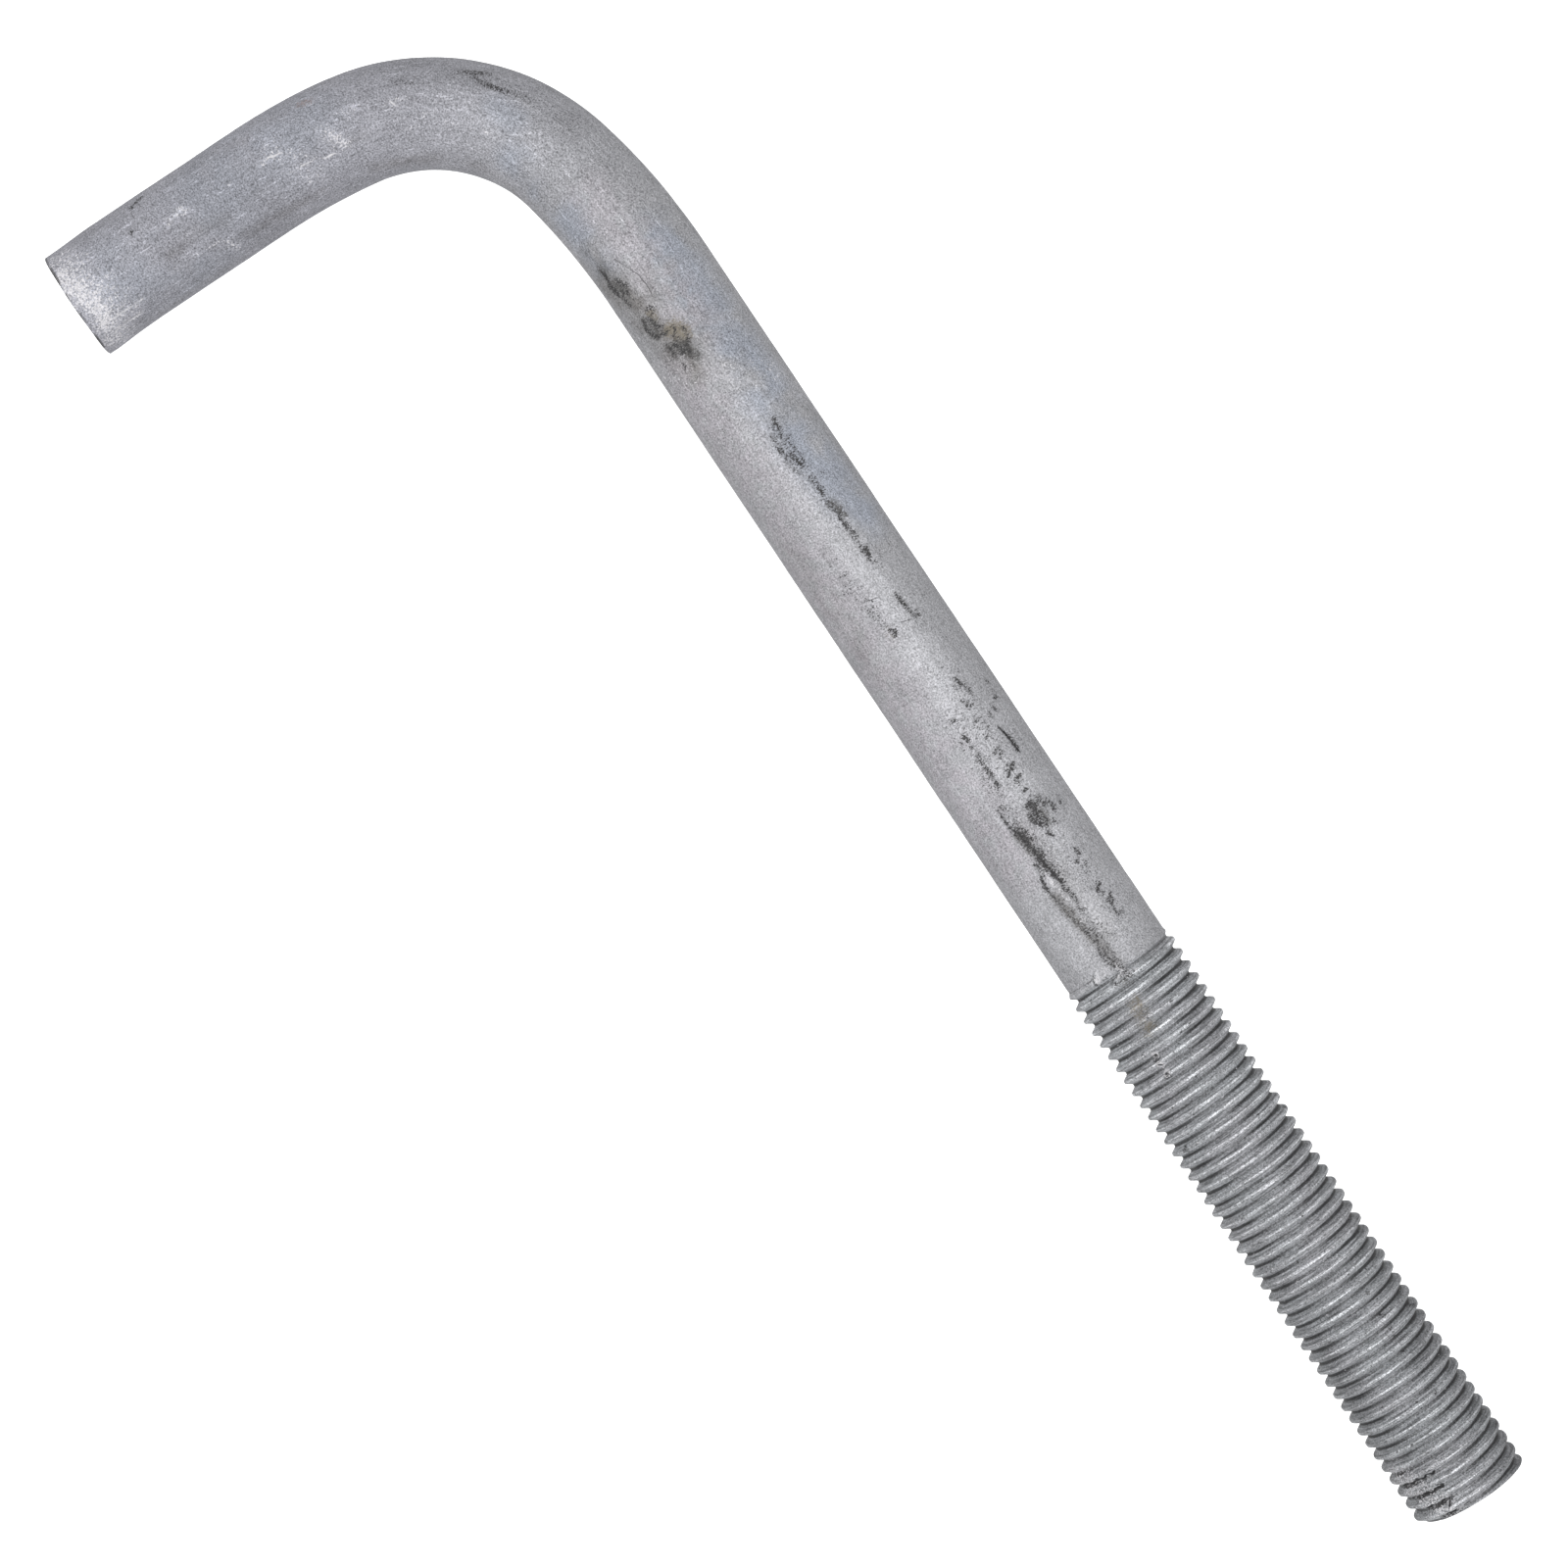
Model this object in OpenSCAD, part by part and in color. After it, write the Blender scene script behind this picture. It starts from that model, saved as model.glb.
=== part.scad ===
// L-shaped anchor bolt.
// One round steel bar, hot-dip galvanised. The long leg ends in a right-hand
// M30 x 3.5 thread and the short leg is a plain hook that is cast into concrete.
// The bolt lies flat: long leg along X with the threaded end at +X, hook towards
// -Y, +Z up. The origin is the middle of the footprint, on the resting surface.

/* [Bar] */
// Diameter of the plain bar, zinc coat included
shank_d = 27.9; // [26:0.1:28.6]
// Length of the long leg, from the corner where the two axes cross to the threaded end
leg_len = 429.2; // [340:0.2:600]
// Length of the hook, from the corner where the two axes cross to its cut end
hook_len = 123.2; // [115.2:0.2:200]

/* [Thread] */
// Outside diameter of the thread, over its crests and the zinc coat
thread_d = 29.9; // [29.2:0.1:31]
// Length of the threaded stretch, with its run-out
thread_len = 154; // [60:1:200]
// Length over which the thread runs out into the bar
runout_len = 3.4; // [1.5:0.1:8]
// Chamfer at the threaded end
end_chamfer = 1; // [0.4:0.1:2]

/* [Bend] */
// Radius of the bar's centre line in the middle of the bend
bend_r = 48.5; // [36:0.5:70]
// Radius of the gentle lead-in next to the long leg
lead_r_long = 163; // [100:1:240]
// Angle turned in the lead-in next to the long leg
lead_deg_long = 12; // [4:0.5:16]
// Radius of the gentle lead-out next to the hook
lead_r_hook = 145; // [100:1:200]
// Angle turned in the lead-out next to the hook
lead_deg_hook = 10; // [4:0.5:14]

/* [Hook end] */
// Rounding of the sheared edge at the end of the hook
hook_edge = 0.9; // [0.3:0.1:2]

/* [Hidden] */
$fn = 96;

shank_r = shank_d / 2;
thread_r = thread_d / 2;

// The bend turns 90 degrees in all: lead-in, middle, lead-out
mid_deg = 90 - lead_deg_long - lead_deg_hook;
after_lead = lead_deg_long;
after_mid = lead_deg_long + mid_deg;

// Where the straight legs end, measured from the corner
bend_x = lead_r_long * sin(after_lead)
       + bend_r * (sin(after_mid) - sin(after_lead))
       + lead_r_hook * (1 - sin(after_mid));
bend_y = lead_r_long * (1 - cos(after_lead))
       + bend_r * (cos(after_lead) - cos(after_mid))
       + lead_r_hook * cos(after_mid);

// Arc centres, each on the line through its neighbour's centre and their shared end
c_lead = [bend_x, -lead_r_long];
c_mid = c_lead + (lead_r_long - bend_r) * [-sin(after_lead), cos(after_lead)];
c_hook = c_mid + (bend_r - lead_r_hook) * [-sin(after_mid), cos(after_mid)];

// Middle of the footprint, measured from the corner
mid_x = (leg_len - shank_r) / 2;
mid_y = (thread_r - hook_len) / 2;

zinc = [0.60, 0.61, 0.63];

// Moves its children to p in a coarse step and a fine one, so that pieces meet face to face
module place(p) {
    coarse = [for (v = p) round(v * 1000) / 1000];
    translate(coarse) translate(p - coarse) children();
}

// Piece of the bend: the bar's section swept about centre c at radius r,
// from angle a0 to angle a1, both measured from the long leg's end of the bend
module bend_piece(c, r, a0, a1) {
    place([c[0], c[1], 0])
        rotate_extrude(angle = a1 - a0, start = 90 + a0)
            translate([r, 0]) circle(d = shank_d);
}

// Long leg: plain bar, run-out, threaded stretch and end chamfer, turned in one
module long_leg() {
    s = leg_len - bend_x;
    place([bend_x, 0, 0]) rotate([0, 90, 0])
        rotate_extrude()
            polygon([
                [0, 0],
                [shank_r, 0],
                [shank_r, s - thread_len],
                [thread_r, s - thread_len + runout_len],
                [thread_r, s - end_chamfer],
                [thread_r - end_chamfer, s],
                [0, s]
            ]);
}

// Hook: plain bar with a lightly rolled edge at its cut end
module hook() {
    s = hook_len - bend_y;
    place([0, -bend_y, 0]) rotate([90, 0, 0])
        rotate_extrude()
            polygon([
                [0, 0],
                [shank_r, 0],
                [shank_r, s - 1.5 * hook_edge],
                [shank_r - 0.3 * hook_edge, s - 0.6 * hook_edge],
                [shank_r - hook_edge, s],
                [0, s]
            ]);
}

module anchor_bolt() {
    color(zinc)
        translate([-mid_x, -mid_y, thread_r])
            union() {
                long_leg();
                bend_piece(c_lead, lead_r_long, 0, after_lead);
                bend_piece(c_mid, bend_r, after_lead, after_mid);
                bend_piece(c_hook, lead_r_hook, after_mid, 90);
                hook();
            }
}

anchor_bolt();
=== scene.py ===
"""Visual model of the L-shaped anchor bolt: one closed mesh with a true helical thread, a bend that thins
where the bar was stretched, a sheared hook end, and a hot-dip zinc skin with its stains, pits and runs.

Places on the bolt are pairs (s, q): s is millimetres along the bar's centre line from the hook's cut end,
q is degrees round the bar from its top, positive towards the outside of the bend.
"""
import math

import bpy
import numpy as np
from mathutils import Matrix, Vector


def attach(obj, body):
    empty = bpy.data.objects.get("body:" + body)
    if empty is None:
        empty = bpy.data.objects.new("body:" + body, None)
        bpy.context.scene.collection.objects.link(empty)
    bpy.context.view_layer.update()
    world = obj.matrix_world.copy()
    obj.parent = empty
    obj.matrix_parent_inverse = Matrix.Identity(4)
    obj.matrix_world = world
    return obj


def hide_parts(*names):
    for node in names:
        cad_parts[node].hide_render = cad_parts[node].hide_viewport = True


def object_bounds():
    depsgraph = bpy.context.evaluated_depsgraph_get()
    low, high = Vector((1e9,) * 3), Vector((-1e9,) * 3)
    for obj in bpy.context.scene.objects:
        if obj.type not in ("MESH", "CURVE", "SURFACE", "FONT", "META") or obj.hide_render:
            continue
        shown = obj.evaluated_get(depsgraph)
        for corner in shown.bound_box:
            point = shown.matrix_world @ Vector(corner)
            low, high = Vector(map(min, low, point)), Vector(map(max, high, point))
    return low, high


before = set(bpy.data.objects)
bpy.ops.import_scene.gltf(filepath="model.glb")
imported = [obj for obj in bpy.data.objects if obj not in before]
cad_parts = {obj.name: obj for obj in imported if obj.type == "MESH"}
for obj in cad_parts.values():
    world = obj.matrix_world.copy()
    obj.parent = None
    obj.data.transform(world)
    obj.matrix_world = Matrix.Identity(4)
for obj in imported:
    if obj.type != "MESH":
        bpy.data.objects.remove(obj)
cad_lo, cad_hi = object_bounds()

# ---------------------------------------------------------------- dimensions, in millimetres
SHANK_R = 13.95
THREAD_R = 14.95
LEG, HOOK = 429.2, 123.2
BEND_R, LEAD_R, LEAD_A, TAIL_R, TAIL_A = 48.5, 163.0, math.radians(12), 145.0, math.radians(10)
PITCH = 3.5
CREST_PHASE = 285.53   # a crest on the +Y side, from the corner
# The corner where the two axes cross, in the frame
CORNER = np.array([cad_lo.x * 1000 + SHANK_R, cad_lo.y * 1000 + HOOK, THREAD_R])

A1, A2 = LEAD_A, math.pi / 2 - TAIL_A
BEND_X = LEAD_R * math.sin(A1) + BEND_R * (math.sin(A2) - math.sin(A1)) + TAIL_R * (1 - math.sin(A2))
BEND_Y = LEAD_R * (1 - math.cos(A1)) + BEND_R * (math.cos(A1) - math.cos(A2)) + TAIL_R * math.cos(A2)
C_LEAD = np.array([BEND_X, -LEAD_R])
C_MID = C_LEAD + (LEAD_R - BEND_R) * np.array([-math.sin(A1), math.cos(A1)])
C_TAIL = C_MID + (BEND_R - TAIL_R) * np.array([-math.sin(A2), math.cos(A2)])
# Ends of the hook, of the three arcs and of the long leg, along the centre line
S = np.cumsum([0, HOOK - BEND_Y, TAIL_R * TAIL_A, BEND_R * (A2 - A1), LEAD_R * A1, LEG - BEND_X])
S_TO_X = BEND_X - S[4]   # on the long leg, x from the corner is s + S_TO_X

COLS = 96              # vertices round the bar, closer together on top


# ---------------------------------------------------------------- helpers
def smooth(lo, hi, v):
    t = np.clip((v - lo) / (hi - lo), 0, 1)
    return t * t * (3 - 2 * t)


def soft_clip(t, k):
    """t held between 0 and 1, with both corners rounded over k."""
    low = np.where(t < -k, 0.0, (t + k) ** 2 / (4 * k))
    high = np.where(t > 1 + k, 1.0, 1 - (1 + k - t) ** 2 / (4 * k))
    return np.where(t < k, low, np.where(t > 1 - k, high, t))


def lattice(i, j, k, seed):
    h = (i * 374761393 + j * 668265263 + k * 1440662683 + seed * 974634211) & 0xFFFFFFFF
    h = ((h ^ (h >> 13)) * 1274126177) & 0xFFFFFFFF
    return (h ^ (h >> 16)) / 4294967295.0


def noise(p, size, seed):
    """Smooth noise from -1 to 1 with features of this size, the same on every run."""
    g = p / size
    base = np.floor(g).astype(np.int64)
    f = g - base
    f = f * f * f * (f * (f * 6 - 15) + 10)
    out = np.zeros(len(p))
    for a in (0, 1):
        for b in (0, 1):
            for c in (0, 1):
                w = (f[:, 0] if a else 1 - f[:, 0]) * (f[:, 1] if b else 1 - f[:, 1]) * (f[:, 2] if c else 1 - f[:, 2])
                out += w * lattice(base[:, 0] + a, base[:, 1] + b, base[:, 2] + c, seed)
    return out * 2 - 1


def centre_line(s):
    """x and y from the corner, and the angle of the bar's direction from +X."""
    x, y, a = np.zeros_like(s), np.zeros_like(s), np.zeros_like(s)
    m = s <= S[1]
    y[m], a[m] = s[m] - HOOK, math.pi / 2
    for k, (c, r, a0) in enumerate(((C_TAIL, TAIL_R, math.pi / 2), (C_MID, BEND_R, A2), (C_LEAD, LEAD_R, A1))):
        m = (s > S[k + 1]) & (s <= S[k + 2])
        a[m] = a0 - (s[m] - S[k + 1]) / r
        x[m], y[m] = c[0] - r * np.sin(a[m]), c[1] + r * np.cos(a[m])
    m = s > S[4]
    x[m] = s[m] + S_TO_X
    return x, y, a


def end_cut(r, th):
    """The threaded end was cut a little askew: how far it stops short of the full length."""
    return 0.06 * (1 - r / 14.9 * np.cos(th))


def place(s, th, r):
    """Points in the frame. th turns about the bar's direction: 0 is the outside of the bend, 90 degrees is the top."""
    x, y, a = centre_line(s)
    out = r * np.cos(th) - 0.45 * np.exp(-((s / 9.0) ** 2))   # the shear pushed the hook's tip towards the inside
    return np.stack([
        CORNER[0] + x - np.sin(a) * out,
        CORNER[1] + y + np.cos(a) * out,
        CORNER[2] + r * np.sin(th),
    ], 1)


def to_line(s, q, points):
    """Distance in millimetres over the skin from each (s, q) to a polyline."""
    round_mm = math.radians(1) * SHANK_R
    u, v = s, q * round_mm
    pts = [(a, b * round_mm) for a, b in points]
    if len(pts) == 1:
        return np.hypot(u - pts[0][0], v - pts[0][1])
    best = np.full(len(s), 1e9)
    for (a0, b0), (a1, b1) in zip(pts, pts[1:]):
        du, dv = a1 - a0, b1 - b0
        t = np.clip(((u - a0) * du + (v - b0) * dv) / (du * du + dv * dv), 0, 1)
        best = np.minimum(best, np.hypot(u - a0 - t * du, v - b0 - t * dv))
    return best


# ---------------------------------------------------------------- marks on the skin
# (kind, points, half-width in mm, strength)
MARKS = [
    # hook end: chalky white patch, dark line on the sheared edge
    ("pale", [(3.0, 36), (3.5, 20), (4.5, 0), (6.5, -20), (7.0, -38), (5.5, -58), (4.5, -72)], 5.8, 0.54), ("pale", [(2.6, 20), (3.0, 4), (4.4, -14), (5.4, -30), (4.6, -50)], 3.3, 0.86),
    ("pale", [(4.0, 8)], 2.6, 0.6), ("pale", [(6.6, -24)], 3.0, 0.6), ("pale", [(10, -35)], 5.0, 0.3), ("pale", [(5, -62), (12.5, -63)], 1.3, 0.5), ("pale", [(6, -48), (14.5, -49)], 1.2, 0.45), ("pale", [(6, -10), (13, -8)], 1.2, 0.4),
    ("pale", [(3.2, -54), (5.0, -66)], 3.0, 0.45), ("pale", [(3.4, 2), (6.8, 6)], 3.2, 0.5), ("pale", [(3.6, 14), (7.4, 17)], 3.2, 0.45),
    # hook and bend: white specks and haze, a rusty speck, dull smudges
    ("pale", [(35.2, 5)], 1.6, 0.8), ("pale", [(31.2, 1)], 0.9, 0.5), ("pale", [(40.1, -51), (41.6, -60)], 1.6, 0.45),
    ("pale", [(57.3, -1), (59.7, 1), (62.7, 2)], 1.0, 0.55), ("pale", [(62.4, 1), (64.7, -16), (66.8, -32)], 4.0, 0.3),
    ("pale", [(75.2, -6), (77.2, -19)], 3.4, 0.28), ("pale", [(74.8, -2)], 1.6, 0.5), ("pale", [(75.8, -10), (76.4, -13)], 1.9, 0.62), ("pale", [(77.9, -22), (78.3, -25)], 1.4, 0.72),
    ("dark", [(107.2, 36), (113.0, 33), (119.6, 28)], 3.6, 0.22),
    # stains beside the bend
    ("smudge", [(164.5, -55), (166.4, -53), (168.0, -53)], 1.7, 0.5),
    ("smudge", [(169.3, -53), (171.4, -47), (173.2, -44)], 2.2, 0.74),
    ("dark", [(169.4, -58), (170.8, -56), (172.8, -53)], 0.9, 0.85), ("dark", [(169.2, -44), (171.6, -37), (174.4, -41)], 0.8, 0.7),
    ("dark", [(173.6, -51), (175.6, -49)], 0.8, 0.75), ("smudge", [(175.8, -47), (178.4, -44)], 1.5, 0.25),
    ("dark", [(180.4, -34), (180.0, -28), (181.2, -26)], 0.7, 0.75), ("rust", [(180.9, -33), (181.7, -28)], 1.3, 0.8),
    ("dark", [(181.6, -32), (181.6, -27)], 0.6, 0.65),
    ("smudge", [(181.6, -44), (183.3, -46), (185.1, -45), (186.6, -40)], 1.3, 0.85),
    ("smudge", [(183.6, -37), (185.2, -39)], 2.2, 0.78),
    ("dark", [(182.1, -45), (184.0, -47), (185.4, -44), (187.1, -39)], 0.9, 0.72),
    ("dark", [(184.3, -35), (185.6, -30), (187.5, -31)], 0.7, 0.7), ("rust", [(187.6, -24), (188.2, -16), (190.0, -14)], 2.6, 0.95),
    ("rust", [(189.9, -24), (191.2, -16)], 1.8, 0.8), ("dark", [(187.6, -29), (187.3, -26)], 0.7, 0.8),
    ("dark", [(187.2, -15), (189.6, -10), (192.1, -12)], 0.6, 0.55), ("smudge", [(190.8, -37), (192.4, -36)], 2.0, 0.74),
    ("dark", [(190.0, -37), (191.6, -34), (192.8, -35)], 0.8, 0.65),
    ("smudge", [(191.5, -28), (192.7, -21), (194.7, -19)], 2.3, 0.88),
    ("smudge", [(192.4, -17), (194.9, -16), (196.6, -16)], 1.5, 0.78),
    ("dark", [(191.0, -28), (192.9, -24), (192.7, -16)], 1.0, 0.7), ("dark", [(196.0, -33), (197.2, -33)], 0.7, 0.75),
    ("smudge", [(194.2, -34), (196.8, -23)], 2.4, 0.24),
    ("smudge", [(170.0, -51), (178.0, -44), (185.3, -39), (193.9, -22)], 6.5, 0.17),
    # first streak along the leg
    ("dark", [(219.4, 14), (220.8, 12), (222.2, 13), (223.3, 11)], 0.7, 0.85), ("dark", [(222.6, 3), (224.8, 3)], 0.7, 0.55),
    ("dark", [(225.8, 0), (227.6, 2)], 0.8, 0.85), ("dark", [(228.1, 2), (230.0, 1)], 0.8, 0.6),
    ("dark", [(224.4, 11), (226.4, 13), (228.0, 15), (229.6, 15)], 0.8, 0.62), ("dark", [(225.2, 17)], 0.6, 0.8),
    ("dark", [(229.0, 8), (230.7, 10), (232.4, 11)], 0.9, 0.85), ("dark", [(229.6, 15), (231.2, 15), (232.9, 14)], 0.6, 0.65),
    ("dark", [(231.0, 8), (234.4, 6)], 1.1, 0.4), ("dark", [(236.2, 10), (238.4, 10)], 0.6, 0.65),
    ("dark", [(235.6, 15), (236.8, 16)], 0.6, 0.6), ("dark", [(236.0, 24), (236.8, 24)], 0.8, 0.5),
    ("dark", [(238.1, 13), (240.0, 16)], 0.7, 0.62), ("dark", [(239.7, 12), (240.8, 14)], 0.6, 0.85),
    ("dark", [(241.2, 11), (243.2, 12)], 0.6, 0.6), ("smudge", [(244.0, 13), (245.2, 16), (246.8, 18)], 1.5, 0.8),
    ("smudge", [(246.8, 18), (248.2, 20)], 1.1, 0.72), ("dark", [(244.1, 12), (245.8, 13), (247.7, 15)], 0.8, 0.7),
    ("dark", [(248.0, 14), (249.9, 14), (251.3, 14)], 0.7, 0.85), ("dark", [(249.4, 15), (250.8, 16), (252.3, 15)], 0.7, 0.75),
    ("dark", [(252.3, 15), (253.2, 19), (254.5, 17)], 0.6, 0.8), ("dark", [(255.4, 15), (257.4, 15)], 0.8, 0.62),
    ("dark", [(258.0, 15), (257.6, 19), (260.1, 16)], 0.8, 0.9), ("dark", [(260.5, 14), (261.7, 17)], 0.7, 0.55),
    ("smudge", [(262.1, 18), (264.4, 20)], 1.0, 0.25), ("dark", [(256.4, 48), (257.6, 45)], 0.6, 0.5),
    ("dark", [(258.4, 44), (260.4, 45)], 0.5, 0.4), ("dark", [(270.9, 18), (272.4, 18)], 0.6, 0.8),
    ("smudge", [(272.4, 18), (274.5, 19), (276.7, 21)], 0.8, 0.6), ("dark", [(272.0, 18), (273.9, 19), (275.4, 20)], 0.8, 0.85),
    ("dark", [(275.4, 20), (277.1, 21), (278.1, 22)], 0.7, 0.7), ("dark", [(276.5, 27), (278.4, 26)], 0.6, 0.6),
    ("smudge", [(278.5, 26), (280.7, 26)], 0.8, 0.3),
    # pitted stretch
    ("dark", [(295.8, 20), (296.5, 21)], 0.8, 0.72), ("dark", [(297.3, 22), (298.5, 25), (299.9, 26)], 0.9, 0.75),
    ("dark", [(297.4, 15), (298.0, 14)], 0.7, 0.62), ("dark", [(300.8, 25), (301.2, 26)], 0.7, 0.55),
    ("dark", [(301.3, 13), (302.4, 16)], 0.7, 0.65), ("dark", [(303.2, 12), (303.3, 21)], 0.6, 0.6),
    ("dark", [(304.0, -7), (304.2, -4)], 0.7, 0.85), ("dark", [(308.6, -5), (309.9, -4)], 0.8, 0.9),
    ("dark", [(311.6, -7), (311.8, -4)], 0.6, 0.7), ("dark", [(308.8, -10), (311.2, -13)], 0.6, 0.55),
    ("smudge", [(310.4, -3), (313.1, -2)], 0.4, 0.3), ("dark", [(314.0, -3), (315.2, -1)], 0.6, 0.7),
    ("dark", [(315.6, -5), (316.3, -4)], 0.7, 0.85), ("dark", [(317.6, -6), (317.9, -3)], 0.7, 0.85),
    ("dark", [(318.4, -4), (319.4, -3)], 0.7, 0.85), ("dark", [(320.4, -6), (320.2, -2)], 0.6, 0.75),
    ("dark", [(321.9, -5), (323.0, -6)], 0.7, 0.85), ("dark", [(321.9, -2), (322.8, -2)], 0.6, 0.75),
    ("dark", [(315.0, -6), (321.0, -8)], 1.6, 0.45), ("dark", [(300.0, 52), (301.2, 54)], 0.7, 0.62),
    ("dark", [(302.8, 53), (303.6, 51)], 0.7, 0.62), ("dark", [(304.9, 47), (304.7, 53)], 0.7, 0.7),
    ("dark", [(306.0, 38), (307.5, 41)], 0.8, 0.55), ("dark", [(307.2, 30), (308.4, 30)], 0.7, 0.62),
    ("dark", [(307.1, 10), (306.9, 18)], 0.7, 0.55), ("dark", [(308.4, 10), (308.9, 14)], 0.6, 0.5),
    ("dark", [(308.3, 20), (308.0, 22)], 0.6, 0.55), ("dark", [(309.6, 20), (310.4, 18)], 0.6, 0.62),
    ("dark", [(310.6, 14), (311.5, 14), (312.0, 16)], 0.6, 0.65), ("dark", [(312.3, 7), (311.9, 10)], 0.6, 0.5),
    ("dark", [(310.6, 30), (312.8, 31)], 0.5, 0.45), ("dark", [(312.5, 32), (313.5, 33)], 0.7, 0.8),
    ("dark", [(314.3, 34), (316.1, 35), (318.0, 35)], 0.8, 0.92), ("dark", [(316.0, 11), (315.5, 15), (315.6, 18)], 0.8, 0.62),
    ("dark", [(316.4, 16), (316.9, 19)], 0.8, 0.6), ("dark", [(317.5, 13), (317.3, 16)], 0.7, 0.62),
    ("dark", [(321.0, 10), (320.0, 15), (320.1, 18)], 0.7, 0.65), ("dark", [(321.2, 15), (320.5, 22)], 0.8, 0.92),
    ("dark", [(322.4, 9), (321.6, 14)], 0.7, 0.8), ("dark", [(324.2, 13), (323.7, 17), (323.6, 21)], 0.7, 0.8),
    ("dark", [(325.3, 14), (324.8, 19)], 0.7, 0.55), ("dark", [(327.4, 15), (327.3, 18)], 0.7, 0.9),
    ("dark", [(330.1, 13), (329.2, 19)], 0.7, 0.62), ("smudge", [(331.9, 11), (333.6, 13), (334.0, 9)], 2.0, 0.66), ("smudge", [(333.6, 18), (335.4, 20)], 1.7, 0.58), ("smudge", [(332.5, 12), (334.5, 17), (336.2, 16)], 2.3, 0.72),
    ("dark", [(331.0, 8), (330.6, 13), (331.4, 18)], 0.8, 0.9), ("dark", [(333.0, 5), (335.0, 6), (336.4, 10)], 0.8, 0.9), ("dark", [(332.6, 11), (334.2, 14), (335.8, 18)], 0.7, 0.8),
    ("smudge", [(330.8, 23), (332.8, 21)], 1.6, 0.55), ("smudge", [(332.5, 29), (334.2, 33)], 1.4, 0.5),
    ("smudge", [(335.2, 14), (337.1, 14)], 1.6, 0.48), ("dark", [(331.2, 12), (333.2, 15), (333.6, 7), (335.2, 11)], 1.1, 0.82),
    ("dark", [(330.8, 22), (331.9, 24), (333.0, 24)], 0.9, 0.7), ("dark", [(332.4, 30), (333.6, 33), (335.2, 32)], 0.8, 0.72),
    ("dark", [(335.9, 14), (337.3, 15)], 0.8, 0.62), ("dark", [(337.2, 24), (338.0, 26)], 0.7, 0.7),
    ("dark", [(333.6, 45), (334.8, 43)], 0.7, 0.55), ("smudge", [(331.1, 15), (335.2, 20)], 3.5, 0.22),
    ("dark", [(338.5, 12), (339.3, 12), (340.2, 14)], 0.7, 0.92), ("dark", [(306.3, 2), (314.6, -3), (329.9, -10)], 2.6, 0.3),
    ("dark", [(323.2, 2), (329.6, 3)], 2.2, 0.26),
    # two seams that run into the thread
    ("dark", [(327.8, -18), (327.4, -13), (328.4, -10), (328.9, -14)], 0.6, 0.6),
    ("dark", [(328.8, -18), (330.9, -18), (332.8, -17)], 0.6, 0.7), ("dark", [(332.8, -17), (334.5, -14)], 0.7, 0.75),
    ("dark", [(331.6, -10), (335.1, -6)], 0.7, 0.55), ("smudge", [(335.6, -14), (337.6, -12), (339.8, -12), (341.7, -10)], 1.5, 0.9),
    ("dark", [(334.8, -14), (336.5, -12), (338.8, -11), (340.8, -10)], 1.3, 0.85),
    ("smudge", [(341.7, -10), (343.9, -9), (346.4, -7)], 1.3, 0.8),
    ("dark", [(341.7, -10), (344.0, -9), (346.5, -8), (348.3, -6)], 1.1, 0.85),
    ("dark", [(342.2, -7), (345.6, -4), (348.4, -3)], 1.0, 0.62), ("dark", [(347.2, -7), (349.3, -6), (350.6, -5)], 0.9, 0.9),
    ("dark", [(349.6, -1), (350.6, -2)], 0.7, 0.6), ("dark", [(351.6, -6), (353.2, -5)], 0.8, 0.75),
    ("dark", [(352.7, -2), (355.0, -4)], 0.7, 0.7), ("dark", [(354.0, -2), (356.7, -2)], 0.8, 0.62),
    ("dark", [(357.8, -4), (359.2, -2)], 0.6, 0.6), ("smudge", [(352.6, -5), (358.6, -3)], 1.2, 0.3),
    ("dark", [(343.5, -17), (345.5, -14)], 0.7, 0.75), ("dark", [(346.3, -17), (347.2, -16)], 0.6, 0.72),
    ("dark", [(347.2, -22), (348.4, -19)], 0.6, 0.8), ("dark", [(348.9, -22), (350.4, -21)], 0.7, 0.9),
    ("smudge", [(350.9, -22), (353.2, -19)], 0.9, 0.48), ("smudge", [(354.1, -18), (357.4, -16), (361.1, -14)], 1.9, 0.42),
    ("smudge", [(361.1, -14), (363.4, -11), (366.0, -7)], 1.8, 0.40), ("smudge", [(367.7, -10), (370.6, -7), (373.1, -6)], 1.7, 0.36),
    ("dark", [(354.6, -17), (358.1, -16), (361.6, -13), (363.2, -11)], 1.4, 0.34),
    ("dark", [(363.6, -12), (365.4, -10), (366.8, -8)], 0.8, 0.62), ("dark", [(368.8, -10), (371.1, -7), (373.4, -7)], 0.8, 0.58),
    ("rust", [(355.9, -16), (361.2, -15), (366.4, -10)], 1.3, 0.35), ("dark", [(358.6, -3), (363.0, -4), (366.4, -3)], 1.2, 0.45),
    ("pale", [(347.8, -14), (351.6, -11), (355.2, -10)], 0.6, 0.55), ("pale", [(360.7, -7), (362.4, -7)], 0.8, 0.5),
    ("dark", [(333.5, -12), (337, -7), (341, -5)], 1.6, 0.6), ("dark", [(336, -4), (342, -1), (350, 2)], 2.0, 0.4),
    # right of the seams
    ("dark", [(345.5, 26), (347.2, 27)], 0.7, 0.88), ("dark", [(348.5, 18), (348.0, 23)], 0.6, 0.75),
    ("dark", [(349.6, 28), (350.6, 25)], 0.6, 0.62), ("dark", [(351.6, 20), (351.6, 24)], 0.7, 0.55),
    ("dark", [(355.0, 23), (354.8, 27)], 0.7, 0.55), ("dark", [(356.8, 21), (355.8, 28)], 0.7, 0.85),
    ("dark", [(357.0, 24), (358.2, 25)], 0.7, 0.8), ("dark", [(360.3, 24), (359.2, 32)], 0.7, 0.75),
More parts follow.
